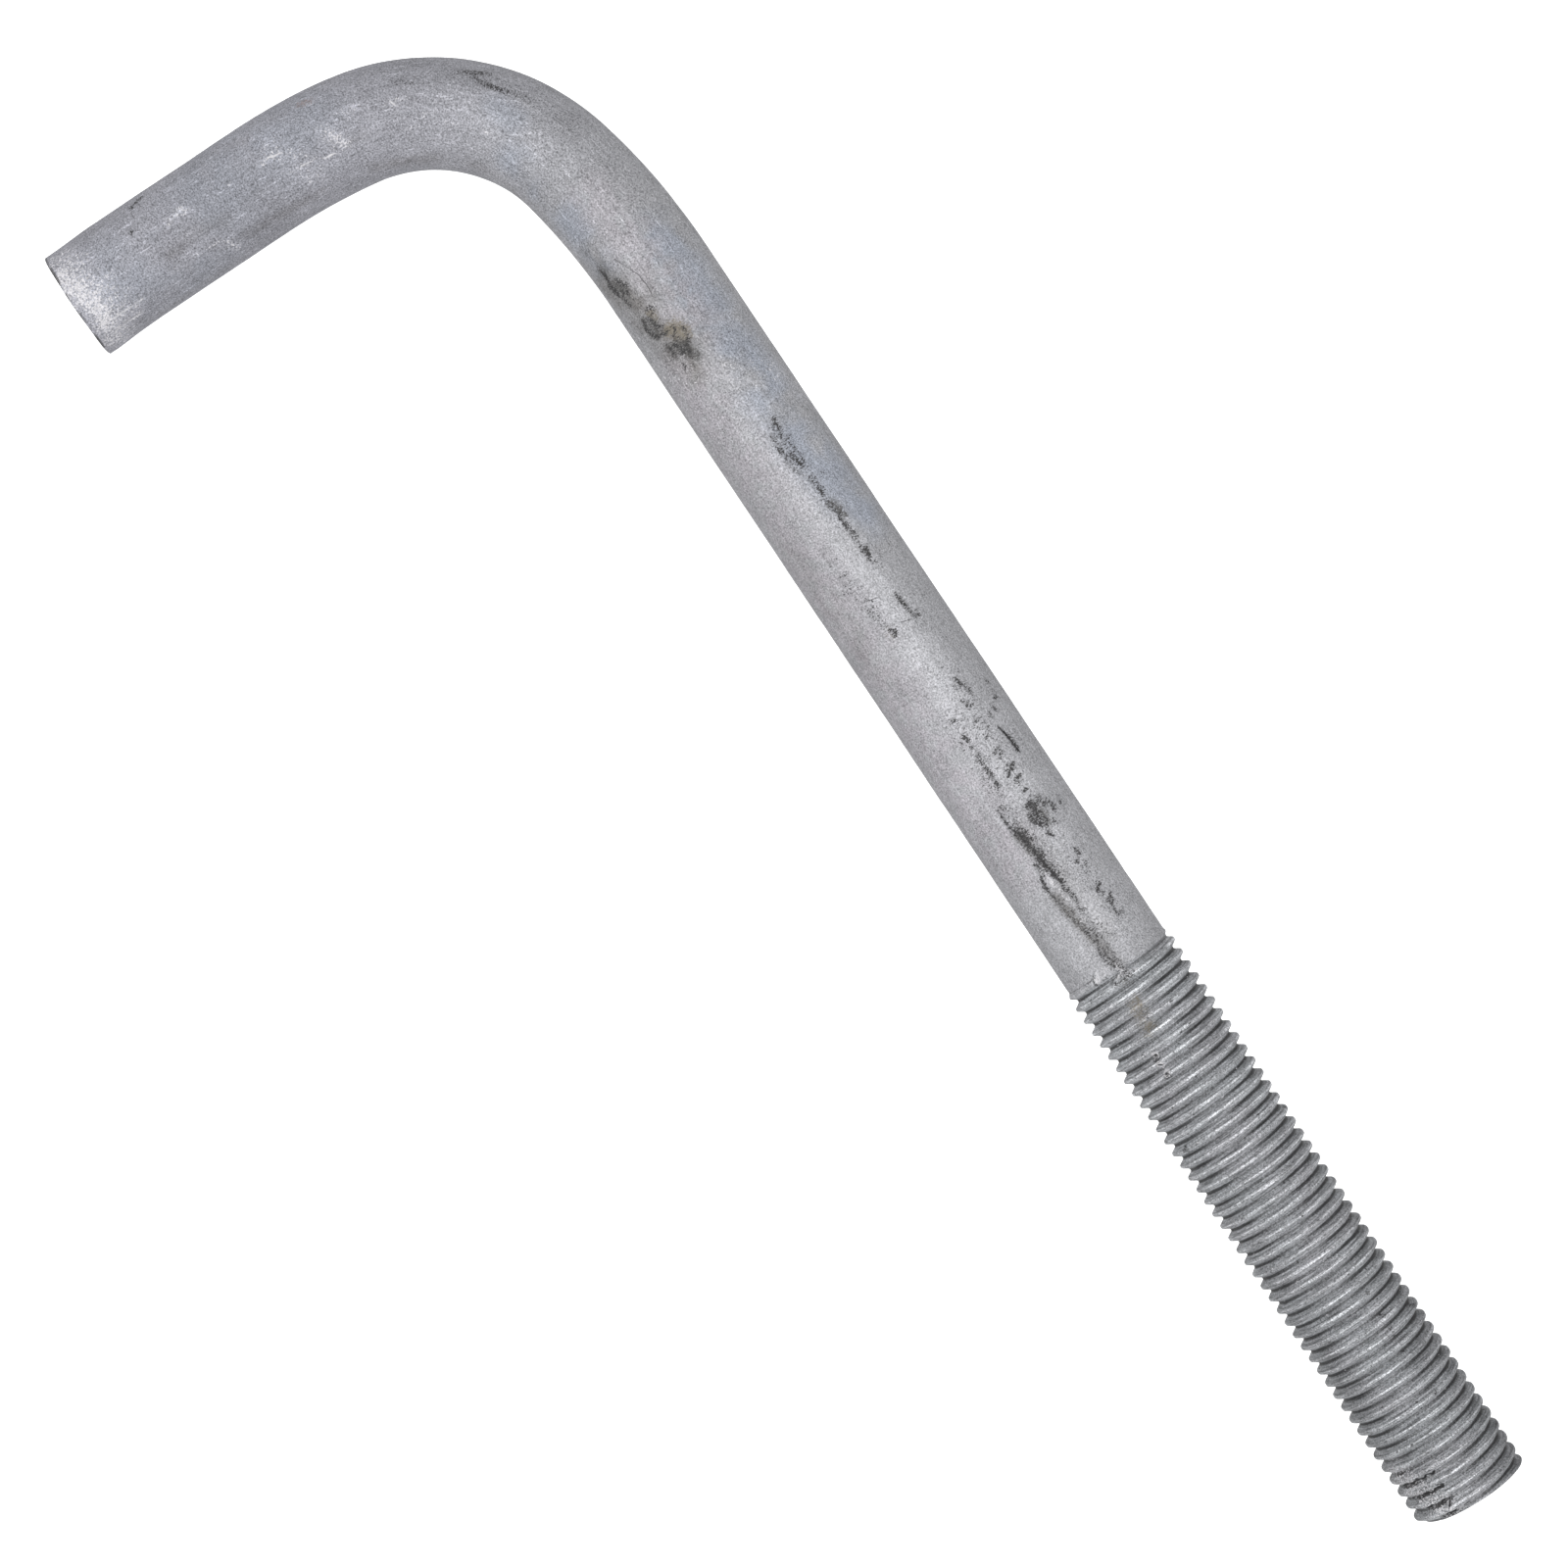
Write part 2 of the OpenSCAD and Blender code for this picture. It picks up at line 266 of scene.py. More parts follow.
    ("dark", [(361.6, 25), (360.7, 30)], 0.7, 0.75), ("dark", [(362.8, 25), (364.3, 26), (364.4, 29)], 0.8, 0.72),
    ("dark", [(364.0, 32), (364.4, 33)], 0.6, 0.5), ("smudge", [(365.6, 31), (368.8, 33)], 0.7, 0.26),
    ("dark", [(345.0, 14), (355.2, 16), (364.7, 23)], 2.4, 0.24), ("dark", [(357.6, 77)], 0.7, 0.85),
    ("dark", [(366.5, -18)], 0.5, 0.6), ("dark", [(362.4, -29)], 0.5, 0.6), ("dark", [(366.4, 3), (367.8, 9)], 1.2, 0.35),
    # dark scuffs and pale scratches on the bend
    ("smudge", [(108.4, 38), (110.8, 38), (112.4, 41)], 1.5, 0.42),
    ("dark", [(106.4, 35), (108.2, 37)], 1.3, 0.40), ("dark", [(108.8, 38), (110.8, 38), (113.2, 43)], 1.0, 0.68),
    ("dark", [(110.4, 33), (111.6, 30), (113.4, 26)], 0.9, 0.60), ("dark", [(113.1, 26), (115.7, 26), (118.8, 26)], 1.0, 0.75),
    ("smudge", [(112.6, 28), (116.5, 26)], 1.5, 0.36), ("dark", [(119.8, 28), (121.8, 29), (124.6, 30)], 1.2, 0.40), ("dark", [(94.4, 24), (96.8, 20), (99.4, 20)], 0.8, 0.45),
    ("dark", [(91.7, 19), (93.7, 20)], 0.8, 0.4), ("dark", [(121.2, 26), (125.2, 26)], 0.9, 0.38),
    ("rust", [(72.4, 37), (74.8, 36)], 1.4, 0.52), ("pale", [(79.2, 8), (82.3, 8), (85.4, 8)], 0.6, 0.42),
    ("pale", [(80.8, 0), (83.6, 4)], 0.6, 0.4), ("pale", [(91.5, 1), (93.8, 3), (95.6, 4)], 0.6, 0.4),
    ("pale", [(99.8, -15), (103.8, -8)], 0.6, 0.36), ("pale", [(105.5, -22), (110.2, -17)], 0.6, 0.38),
    ("pale", [(113.2, -23), (118.1, -21)], 0.6, 0.36), ("pale", [(94.5, -29), (99.6, -24)], 0.6, 0.34),
    ("pale", [(92.2, -1), (92.9, -1)], 0.6, 0.6), ("haze", [(81.9, -61), (91.7, -64), (103.0, -66)], 2.2, 0.16),
    ("haze", [(75.1, -21), (83.7, -23)], 1.6, 0.14), ("haze", [(114.6, -64), (125.3, -70), (133.6, -87)], 2.0, 0.1),
    ("haze", [(44.5, -53), (55.3, -58), (67.2, -60)], 1.6, 0.12),
    ("haze", [(162.6, -59), (168.6, -53), (174.8, -45), (183.2, -38), (192.0, -30), (197.5, -28)], 5.2, 0.34),
    ("haze", [(174.6, -32), (184.4, -24), (192.9, -14)], 6.0, 0.16),
    # wrinkles across the leg
    ("dark", [(260.4, -19), (260.4, -10)], 0.9, 0.36), ("dark", [(263.7, -17), (263.5, -8)], 0.8, 0.36),
    ("dark", [(264.0, -25), (265.0, -16)], 0.9, 0.4), ("dark", [(266.4, -19), (266.4, -10)], 0.8, 0.38),
    ("dark", [(268.5, -18), (268.6, -9)], 0.8, 0.4), ("dark", [(270.9, -18), (270.8, -8)], 0.8, 0.34),
    ("dark", [(268.7, -7), (270.3, -4)], 0.8, 0.44), ("dark", [(273.6, -15), (273.4, -6)], 0.8, 0.38),
    ("dark", [(275.5, -14), (275.1, -6)], 0.8, 0.36), ("dark", [(256.4, -23), (256.0, -13)], 0.8, 0.32),
    ("dark", [(253.0, -23), (252.8, -14)], 0.8, 0.3), ("dark", [(253.2, -36), (255.4, -32)], 0.8, 0.28),
    ("dark", [(277.8, -8), (278.0, -3), (279.2, -5)], 0.8, 0.82), ("rust", [(277.2, -9), (278.6, -8)], 1.6, 0.4),
    ("dark", [(262.7, -16), (269.0, -12), (275.6, -10)], 2.6, 0.36), ("haze", [(246.4, -58), (265.0, -46), (285.4, -42)], 4.0, 0.1),
    # painted highlight along the top of the leg, and a fainter one at q -31
    ("painted_highlight", [(215, -4), (240, 1)], 4.2, 0.10), ("painted_highlight", [(240, 1), (255, 2), (271, 3)], 4.4, 0.19), ("painted_highlight", [(271, 3), (302, 6), (325, 8)], 4.6, 0.25), ("painted_highlight", [(336, 10), (366, 10)], 4.6, 0.14), ("painted_highlight", [(298, -31), (367, -31)], 5.0, 0.075),
    # haze and pits along the seams
    ("haze", [(336, -8), (348.4, -3), (366, 1)], 3.0, 0.10),
    ("haze", [(353, -17), (361, -12.5), (368, -6), (374, -3)], 1.6, 0.2), ("shade", [(353, -17), (361, -12.5), (368, -6), (374, -3)], 2.0, 0.20), ("pepper", [(353, -17), (361, -12.5), (368, -6), (374, -3)], 1.9, 0.95),
    # more of the stains
    ("dark", [(165.2, -53), (166.8, -53), (168.3, -54)], 0.8, 0.92), ("dark", [(169.2, -55), (170.8, -53), (172.4, -52)], 0.7, 0.88),
    ("dark", [(170.1, -44), (171.6, -43), (173.0, -45)], 0.7, 0.85), ("dark", [(174.0, -49), (175.6, -49), (176.7, -47)], 0.6, 0.8),
    ("dark", [(182.0, -44), (183.3, -46), (184.8, -46)], 0.7, 0.85), ("dark", [(182.0, -38), (183.6, -34), (185.2, -34)], 0.7, 0.8),
    ("dark", [(185.4, -46), (186.9, -40), (187.2, -33)], 0.7, 0.78), ("dark", [(185.6, -34), (185.6, -28)], 0.7, 0.7),
    ("dark", [(191.0, -29), (192.4, -25), (192.6, -20)], 0.8, 0.82), ("dark", [(193.6, -28), (194.0, -20), (195.5, -18)], 0.8, 0.82),
    ("dark", [(191.0, -36), (192.4, -34)], 0.8, 0.7), ("dark", [(186.9, -19), (188.4, -18), (189.2, -25)], 0.6, 0.7),
    ("dark", [(188.8, -11), (190.4, -12), (192.0, -14)], 0.6, 0.66), ("dark", [(190.2, -24), (190.5, -18)], 0.6, 0.62),
    ("rust", [(181.8, -32), (183.2, -31)], 1.2, 0.75), ("dark", [(220.4, 11), (224.7, 9), (229.2, 13), (233.3, 14)], 1.8, 0.46),
    ("dark", [(223.0, 2), (228.1, 2), (233.7, 5)], 1.3, 0.52), ("dark", [(237.1, 12), (243.2, 12)], 1.2, 0.5),
    ("dark", [(251.6, 14), (258.0, 16)], 1.0, 0.5),
    # hook
    ("dark", [(25.1, 44), (26.8, 47), (28.8, 52)], 0.7, 0.9), ("dark", [(22.2, 15)], 0.6, 0.85),
    ("dark", [(27.2, 51), (27.6, 43)], 0.5, 0.6), ("pale", [(30.8, 4), (33.2, 5), (35.5, 5)], 0.8, 0.3),
    ("pale", [(35.6, -42), (37.2, -43)], 0.6, 0.45), ("pale", [(38.9, -44), (40.2, -47)], 0.6, 0.45),
    ("pale", [(40.4, -53), (42.0, -56)], 0.6, 0.42), ("pale", [(31.0, -40), (32.8, -41)], 0.6, 0.4),
    ("pale", [(24.8, -42), (27.3, -42)], 0.6, 0.4), ("pale", [(46.5, 2), (48.6, 0)], 0.6, 0.38),
    ("haze", [(27.6, -25), (35.1, -22), (43.5, -26)], 2.0, 0.14), ("haze", [(17.2, -86), (26.8, -84), (37.2, -84)], 1.6, 0.12),
    # beads at the start of the thread
    ("dark", [(373.5, -31), (374.7, -34), (376.0, -33)], 0.45, 0.75),
    ("dark", [(375.4, -25), (375.5, -21)], 0.45, 0.7), ("pale", [(377.1, -13), (377.0, -7)], 0.6, 0.7),
    ("pale", [(376.8, -1), (377.0, 6)], 0.6, 0.7), ("dark", [(377.1, -18), (378.1, -15), (378.0, -9)], 0.5, 0.62),
    ("dark", [(375.3, -7), (375.4, 0)], 0.5, 0.6), ("dark", [(378.0, -1), (378.0, 6)], 0.5, 0.62),
    # lighter along the middle of the leg: pale zinc specks, and painted highlight along the top
    ("pale", [(196, -2), (225, -6), (250, -4), (300, 2), (345, 6), (372, 6)], 6.0, 0.11),
    # fine pits, darker stretches, and painted highlight on brighter stretches
    ("pepper", [(219, 10), (240, 11), (262, 15)], 3.0, 0.5), ("pepper", [(262, 17), (281, 23)], 2.4, 0.4), ("pepper", [(294, 20), (310, 15), (330, 14)], 5.0, 0.6),
    ("pepper", [(303, -5), (316, -8), (331, -12)], 4.4, 0.6), ("pepper", [(300, 50), (306, 42), (318, 35)], 3.0, 0.4), ("pepper", [(338, 18), (352, 22), (367, 28)], 4.6, 0.55),
    ("pepper", [(332, -10), (350, -4), (368, 0)], 3.6, 0.6), ("pepper", [(350, -19), (362, -14), (372, -8)], 2.4, 0.5), ("pepper", [(256, -16), (278, -9)], 4.0, 0.35),
    ("pepper", [(166, -52), (178, -44), (196, -20)], 5.0, 0.45), ("pepper", [(106, 36), (120, 25)], 4.0, 0.35), ("pepper", [(20, -10), (60, -5), (100, -10)], 9.0, 0.2),
    ("shade", [(138, 22), (160, 22), (184, 12), (200, 4)], 6.5, 0.075), ("shade", [(30, -12), (52, -12)], 6.0, 0.08), ("shade", [(332, 0), (371, 2)], 3.2, 0.03),
    # painted highlight on the hook, the bend and the leg
    ("painted_highlight", [(14, 4), (30, 22)], 8.0, 0.08), ("painted_highlight", [(106, -15), (134, -12)], 7.0, 0.07), ("painted_highlight", [(52, 34), (72, 34)], 5.0, 0.07), ("painted_highlight", [(245, -31), (285, -31)], 5.0, 0.06),
    ("shade", [(28, -58), (52, -58)], 6.0, 0.09), ("shade", [(168, -62), (196, -58)], 5.0, 0.11), ("shade", [(138, -38), (158, -38)], 5.0, 0.06), ("shade", [(390, -16), (425, -16), (474, -16)], 3.0, 0.08),
    # tints
    ("blue", [(168, 22), (187, 24), (204, 24), (223, 24), (249, 40)], 7.5, 1.0), ("blue", [(148, -44), (162, -46)], 6.0, 0.9), ("blue", [(127, -36), (136, -46)], 5.0, 0.8), ("blue", [(118, 6), (123, 0)], 4.0, 0.6),
    ("blue", [(14, -20), (30, -40), (50, 20), (70, 10)], 12.0, 0.5),
    ("lilac", [(200, -40), (260, -45), (340, -40)], 9.0, 0.8), ("lilac", [(150, -8), (175, -5), (190, 0)], 7.0, 0.7),
    # thread
    ("rust", [(384.7, -11), (387, -12)], 2.6, 0.60), ("rust", [(390.8, -13)], 2.6, 0.60), ("rust", [(378, -6)], 2.0, 0.4),
    ("pale", [(374.4, -32), (374.0, -24), (374.0, -14)], 0.9, 0.35), ("pale", [(374.4, -5), (377.3, -2)], 1.0, 0.8), ("pale", [(377.4, 8), (377.3, 0)], 0.9, 0.7),
    ("dark", [(370.4, -11), (374.1, -6), (377.6, -2)], 2.0, 0.55),
    # pale zinc beads, and painted shadow beside them
    ("pale", [(397.2, -23), (402.3, -23)], 1.3, 0.28), ("dark", [(398, -26), (398.6, -21)], 0.8, 0.5), ("dark", [(403, -26), (403.6, -21)], 0.8, 0.5),
    ("dark", [(420.5, -53)], 1.2, 0.8), ("dark", [(426.4, 77)], 1.3, 0.8), ("dark", [(481.2, 65)], 1.3, 0.85),
    ("dark", [(472, 21)], 0.8, 0.7), ("dark", [(478.4, 21)], 0.9, 0.7), ("dark", [(482, 21)], 0.8, 0.7),
    ("dark", [(488.2, 21)], 0.9, 0.7), ("dark", [(500.4, 21)], 0.9, 0.7),
    ("pale", [(515, -60), (519, -50), (524, -34)], 4.6, 0.68),
    ("pepper", [(515.5, -62), (519.5, -46), (524.5, -30)], 4.0, 0.95),
    ("dark", [(526.6, -44), (526.5, -34), (526.5, -22)], 0.6, 0.5),
    # the side that lay on the ground
    ("dark", [(62, 150), (70, 158), (79, 155)], 1.4, 0.6), ("smudge", [(118, -150), (126, -158), (133, -160)], 2.6, 0.45),
    ("dark", [(206, 164), (222, 168), (238, 163)], 1.3, 0.6), ("smudge", [(262, -128), (270, -133)], 2.4, 0.5), ("rust", [(272, -135)], 2.4, 0.7),
    ("pale", [(180, -150), (230, 180 - 12), (290, 150)], 5.0, 0.22), ("dark", [(301, -163), (316, -158), (334, -166)], 1.2, 0.62),
    ("dark", [(345, 128), (352, 133), (361, 131)], 1.0, 0.6), ("pale", [(24, -140), (36, -150)], 3.0, 0.45), ("rust", [(148, 118)], 1.8, 0.5),
    ("dark", [(410, 140)], 1.1, 0.7), ("dark", [(452, -120)], 1.0, 0.7), ("dark", [(489, 165)], 1.1, 0.7), ("rust", [(436, 150), (444, 158)], 2.2, 0.7),
    ("blue", [(170, 150), (210, 160), (250, 140)], 9.0, 0.9), ("lilac", [(260, -140), (330, -150)], 10.0, 0.8),
]
# Hollows and lumps in the skin: (points, half-width, height in mm)
RELIEF = [
    ([(164.3, -54), (176.4, -47)], 2.2, -0.05), ([(181, -42), (196, -18)], 3.0, -0.06),
    ([(219.6, 12), (240, 12)], 1.6, -0.07), ([(243.7, 14), (262, 17)], 1.4, -0.12), ([(271.3, 18), (280.6, 24)], 1.2, -0.10),
    ([(278.1, -5)], 1.2, -0.15), ([(309.1, -4)], 1.2, -0.15), ([(311.5, 30), (318, 35)], 1.2, -0.16),
    ([(320.8, 23), (322.4, 10)], 1.1, -0.12), ([(324.3, 14), (329.4, 16)], 1.1, -0.10),
    ([(334.5, 17)], 3.6, -0.20), ([(339.2, 14)], 1.2, -0.15),
    ([(330, -17), (336.7, -11), (343.4, -9), (350, -5)], 1.5, -0.24), ([(350, -5), (371, -2)], 1.5, -0.12),
    ([(346, -18), (357.4, -16), (371.3, -11), (375, -6)], 1.5, -0.20),
    ([(347, -11.5), (357, -11)], 1.3, 0.10),
    ([(346.4, 26)], 1.1, -0.15), ([(356.3, 25), (363.6, 29)], 1.3, -0.10),
    ([(357.6, 86)], 1.0, -0.22), ([(195.2, -84)], 0.9, -0.18),
]


def painted(kind, s, q):
    out = np.zeros(len(s))
    for k, points, width, strength in MARKS:
        if k == kind:
            d = to_line(s, q, points) / width
            out = np.maximum(out, strength * np.clip(1.35 - d, 0, 1) ** 1.0 * (d < 1.35))
    return np.clip(out, 0, 1)


# ---------------------------------------------------------------- the skin
def bar_radius(s, th):
    """The plain bar: a touch smaller on the hook, thinner in the plane of the bend."""
    hook = 1 - smooth(40, 100, s)
    bend = smooth(70, 100, s) * (1 - smooth(125, 165, s))
    wide = 13.95 - 0.15 * hook - 0.32 * bend
    tall = 13.95 - 0.10 * hook - 0.05 * bend
    return wide * tall / np.sqrt((tall * np.cos(th)) ** 2 + (wide * np.sin(th)) ** 2)


def skin(s, th):
    """Radius at (s, th), thread included."""
    q = (90 - np.degrees(th) + 180) % 360 - 180
    r = bar_radius(s, th)
    x = s + S_TO_X
    turn = (x - CREST_PHASE) / PITCH - th / (2 * math.pi)
    w = np.abs(turn - np.round(turn))
    p = place(s, th, np.full_like(s, SHANK_R))
    groove = soft_clip((w - 0.10) / 0.29, 0.14)
    form = smooth(274.9, 278.1, x)
    crest = 14.86 - 0.05 * np.clip(noise(p, 5.0, 11), 0, 1) + 0.02 * noise(p, 1.7, 12)
    root = 13.17 + 0.16 * np.clip(noise(p, 2.6, 13), 0, 1) + 0.10 * noise(p, 6.0, 14)
    clump = np.exp(-(to_line(s, q, [(515, -66), (523, -45)]) / 5.0) ** 2)
    root = root + clump * (0.45 + 0.60 * np.clip(noise(p, 1.8, 15) + 0.2, 0, 1))
    r = r + (crest + (root - crest) * groove - r) * form
    # burr where the thread starts
    r = r + 0.16 * np.exp(-((x - 275.9) / 0.55) ** 2) * np.clip(np.cos(th - math.pi * 0.1) * 0.9, 0, 1)
    r = r + 0.05 * noise(p, 9.0, 21) * (1 - 0.6 * form) + 0.022 * noise(p, 2.4, 22)
    for points, width, height in RELIEF:
        r = r + height * np.exp(-(to_line(s, q, points) / width) ** 2)
    # worn, rounded threaded end
    t = np.clip((x - (LEG - 0.9 - end_cut(14.9, th))) / 0.95, 0, 1)
    r = np.minimum(r, 13.9 + 1.05 * np.sqrt(np.clip(1 - t * t, 0, 1)) + 0.10 * noise(p, 5.0, 23) * t)
    return np.minimum(r, 14.93)


# ---------------------------------------------------------------- mesh
fan = np.linspace(-180, 180, 3601)
crowd = np.cumsum(1 + 1.6 * (1 - smooth(70, 110, np.abs((fan[:-1] + fan[1:]) / 2))))
theta = -math.pi / 2 + np.radians(180 + np.interp(np.arange(COLS) / COLS, np.append(0, crowd / crowd[-1]), fan))   # column 0 is at the bottom

verts, v_s, v_q, v_r, v_face = [], [], [], [], []


def add(s, th, r, face):
    """Adds vertices and returns their numbers."""
    first = sum(len(a) for a in verts)
    verts.append(place(s, th, r))
    v_s.append(s)
    v_q.append((90 - np.degrees(th) + 180) % 360 - 180)
    v_r.append(r)
    v_face.append(face)
    return first + np.arange(len(s))


faces = []
none = np.zeros(COLS)


def bridge(a, b):
    """Quads between two rows of COLS vertices."""
    for j in range(COLS):
        k = (j + 1) % COLS
        faces.append((a[j], a[k], b[k], b[j]))


# Hook end: a sheared face, set back at the top where the shear rolled the edge over
set_back = (0.41 - 0.05 * np.cos(theta)) * np.clip(np.sin(theta), 0, 1) ** 1.2 + 0.08 * np.sin(3 * theta + 1.0) ** 2 + 0.04
edge = 0.09 + 0.22 * np.clip(np.sin(theta), 0, 1) + 0.10 * np.clip(np.cos(theta), 0, 1)
tip_r = skin(np.full(COLS, 2.0), theta) + 0.2 * np.clip(-np.cos(theta), 0, 1) ** 2
tip = add(np.array([0.42]), np.array([0.0]), np.array([0.0]), np.array([1.0]))
rows = []
for k, f in enumerate((0.14, 0.30, 0.46, 0.60, 0.72, 0.82, 0.90, 0.96)):
    r = (tip_r - edge) * f
    p = np.stack([r * np.cos(theta) + 40, r * np.sin(theta), np.zeros(COLS)], 1)
    torn = smooth(-4, 3, -r * np.sin(theta)) * (1 - f ** 6)   # burnished at the top, torn lower down
    dip = set_back * f ** 1.5 + 0.30 * (1 - f ** 2) + (0.08 + 0.24 * torn) * noise(p, 4.2, 31) + (0.03 + 0.14 * torn) * noise(p, 1.8, 32) + 0.18 * torn
    rows.append(add(np.maximum(dip, 0.02), theta, r, none + 1))
for a in np.radians((0, 25, 50, 72, 90)):
    s = set_back + edge * (1 - math.cos(a)) + 0.02
    rows.append(add(s, theta, tip_r - edge * (1 - math.sin(a)), none + 1 - 0.9 * a / math.radians(90)))
for j in range(COLS):
    k = (j + 1) % COLS
    faces.append((tip[0], rows[0][k], rows[0][j]))

# Plain bar, with closer rows where the skin is pitted
bar_s = np.concatenate([
    [0.3, 0.7, 1.2, 1.8], np.linspace(1.6, 15, 16)[1:], np.arange(16.2, 160, 1.5), np.arange(160, 200, 0.6), np.arange(200, 218, 1.4),
    np.arange(218, 282, 0.56), np.arange(282, 294, 1.1), np.arange(294, 372.6, 0.5),
])
for base in bar_s:
    keep = np.clip(1 - base / 15.0, 0, 1)
    s = base + (set_back + edge) * keep
    r = skin(s, theta)
    r = r + 0.2 * np.clip(-np.cos(theta), 0, 1) ** 2 * math.exp(-((base - 2) / 6.0) ** 2)
    rows.append(add(s, theta, r, none + (0.1 if base < 0.5 else 0.0)))
s_start = 372.6
rows.append(add(np.full(COLS, s_start), theta, skin(np.full(COLS, s_start), theta), none))
for a, b in zip(rows, rows[1:]):
    bridge(a, b)

# Thread: rows follow the helix, so crests and roots lie along edges of the mesh
x_start, x_end = s_start + S_TO_X, LEG - 0.30 - end_cut(14.9, theta)
steps = np.array([-0.5, -0.39, -0.29, -0.19, -0.10, 0.0, 0.10, 0.19, 0.29, 0.39])
n = len(steps)
x_base = CREST_PHASE - PITCH / 4
first = math.floor((x_start - x_base) / PITCH) - 2
last = math.ceil((LEG - x_base) / PITCH) + 1
w = (np.arange(first, last + 1)[:, None] + steps[None, :]).ravel()
x = x_base + PITCH * (w[:, None] + (theta[None, :] + math.pi / 2) / (2 * math.pi))
inside = (x > x_start + 0.12) & (x < x_end - 0.08)
r = skin((x[inside] - S_TO_X), np.broadcast_to(theta, x.shape)[inside])
numbers = np.full(x.shape, -1)
numbers[inside] = add(x[inside] - S_TO_X, np.broadcast_to(theta, x.shape)[inside], r, np.zeros(len(r)))
s_end = x_end - S_TO_X
r = skin(s_end, theta)
end_row = add(s_end, theta, r, none + 0.3)
start_row = rows[-1]
for j in range(COLS):
    low, high = x[:, j] <= x_start + 0.12, x[:, j] >= x_end[j] - 0.08
    numbers[low, j] = start_row[j]
    numbers[high, j] = end_row[j]
for j in range(COLS):
    here = numbers[:, j]
    there = numbers[:, j + 1] if j + 1 < COLS else np.concatenate([numbers[n:, 0], np.full(n, end_row[0])])
    for i in range(len(w) - 1):
        quad = (here[i], there[i], there[i + 1], here[i + 1])
        f = tuple(dict.fromkeys(quad))
        if len(f) >= 3:
            faces.append(f)

# Threaded end: a slightly uneven flat face
rows = [end_row]
for back, inset in ((0.16, 0.14), (0.05, 0.40), (0.0, 0.8)):
    rows.append(add(S[5] - 0.02 - back - end_cut(r - inset, theta), theta, r - inset, none + 1))
for f in (0.88, 0.74, 0.58, 0.42, 0.26, 0.12):
    rr = (r - 0.8) * f
    p = np.stack([rr * np.cos(theta) + 80, rr * np.sin(theta), np.zeros(COLS)], 1)
    rows.append(add(S[5] - 0.03 - 0.05 * (1 + noise(p, 3.5, 33)) - end_cut(rr, theta), theta, rr, none + 1))
for a, b in zip(rows, rows[1:]):
    bridge(a, b)
mid = add(np.array([S[5] - 0.14]), np.array([0.0]), np.array([0.0]), np.array([1.0]))
for j in range(COLS):
    faces.append((mid[0], rows[-1][j], rows[-1][(j + 1) % COLS]))

points = np.concatenate(verts)
v_s, v_q, v_r, v_face = map(np.concatenate, (v_s, v_q, v_r, v_face))

mesh = bpy.data.meshes.new("anchor_bolt_skin")
mesh.from_pydata((points / 1000).tolist(), [], [tuple(int(i) for i in f) for f in faces])
mesh.validate()
mesh.polygons.foreach_set("use_smooth", np.ones(len(mesh.polygons), bool))
mesh.update()
bolt = bpy.data.objects.new("anchor_bolt_skin", mesh)
bpy.context.scene.collection.objects.link(bolt)


def store(name, values):
    a = mesh.attributes.new(name, "FLOAT", "POINT")
    a.data.foreach_set("value", np.asarray(values, np.float32))


flat = smooth(0.75, 1.0, v_face)   # 1 on the two end faces
for kind in ("dark", "smudge", "pale", "rust", "blue", "lilac", "haze", "painted_highlight", "pepper", "shade"):
    store(kind, painted(kind, v_s, v_q) * (1 - flat))
store("face", flat)
# painted shade along the lip of the sheared edge
lip = 0.72 + 0.35 * np.exp(-(((v_q - 20) / 16) ** 2)) + 0.40 * np.exp(-(((v_q + 62) / 14) ** 2)) - 0.3 * smooth(80, 110, np.abs(v_q))
store("rim", np.clip(lip, 0, 1) * smooth(0.02, 0.14, v_face) * (1 - flat) * (v_s < 5))
x_of = v_s + S_TO_X
turn = (x_of - CREST_PHASE) / PITCH - np.radians(90 - v_q) / (2 * math.pi)
# thread: how far from a crest, in pitches (0 to a half); and the bar straightened out, in millimetres
store("phase", np.abs((turn + 0.53) % 1 - 0.5))
store("groove", np.abs((turn + 0.50) % 1 - 0.5))
store("thread", smooth(275.4, 278.5, x_of) * (1 - v_face))
store("leg", 0.5 * smooth(140, 200, v_s) + 0.5 * smooth(210, 260, v_s))
straight = np.stack([v_s, v_r * np.cos(np.radians(v_q)), v_r * np.sin(np.radians(v_q))], 1)
mesh.attributes.new("straight", "FLOAT_VECTOR", "POINT").data.foreach_set("vector", straight.astype(np.float32).ravel())
# darkening in the thread's grooves, stronger away from the top: partly grime, partly painted shade
store("groove_grime_and_shade", 0.54 + 0.40 * smooth(4, 40, np.abs(v_q + 8)))
store("clump", np.exp(-(to_line(v_s, v_q, [(515.5, -62), (524, -34)]) / 5.5) ** 2) * (1 - flat))
# the hook is duller than the leg; a little lighter from 290 to 372 mm and darker along the thread; painted shade on the
# thread's sides away from the top and on one flank of each turn on the +q side, painted light on one flank of each turn
# on the -q side
store("tone_light_and_shade", (0.86 + 0.14 * smooth(60, 190, v_s)) * (1 + 0.028 * smooth(290, 306, v_s) * (1 - smooth(366, 374, v_s))) * (1 - 0.06 * smooth(374, 380, v_s) - 0.08 * smooth(400, 520, v_s))
      * (1 - 0.20 * smooth(390, 510, v_s) * smooth(20, 60, np.abs(v_q)))
      * (1 - 0.55 * np.exp(-((((turn + 0.91) % 1 - 0.5) / 0.09) ** 2)) * smooth(40, 65, v_q) * smooth(276, 279, x_of))
      * (1 + 0.14 * np.exp(-((((turn + 0.28) % 1 - 0.5) / 0.13) ** 2)) * smooth(35, 55, -v_q) * smooth(276, 279, x_of)))
store("dull", 1 - smooth(70, 175, v_s))
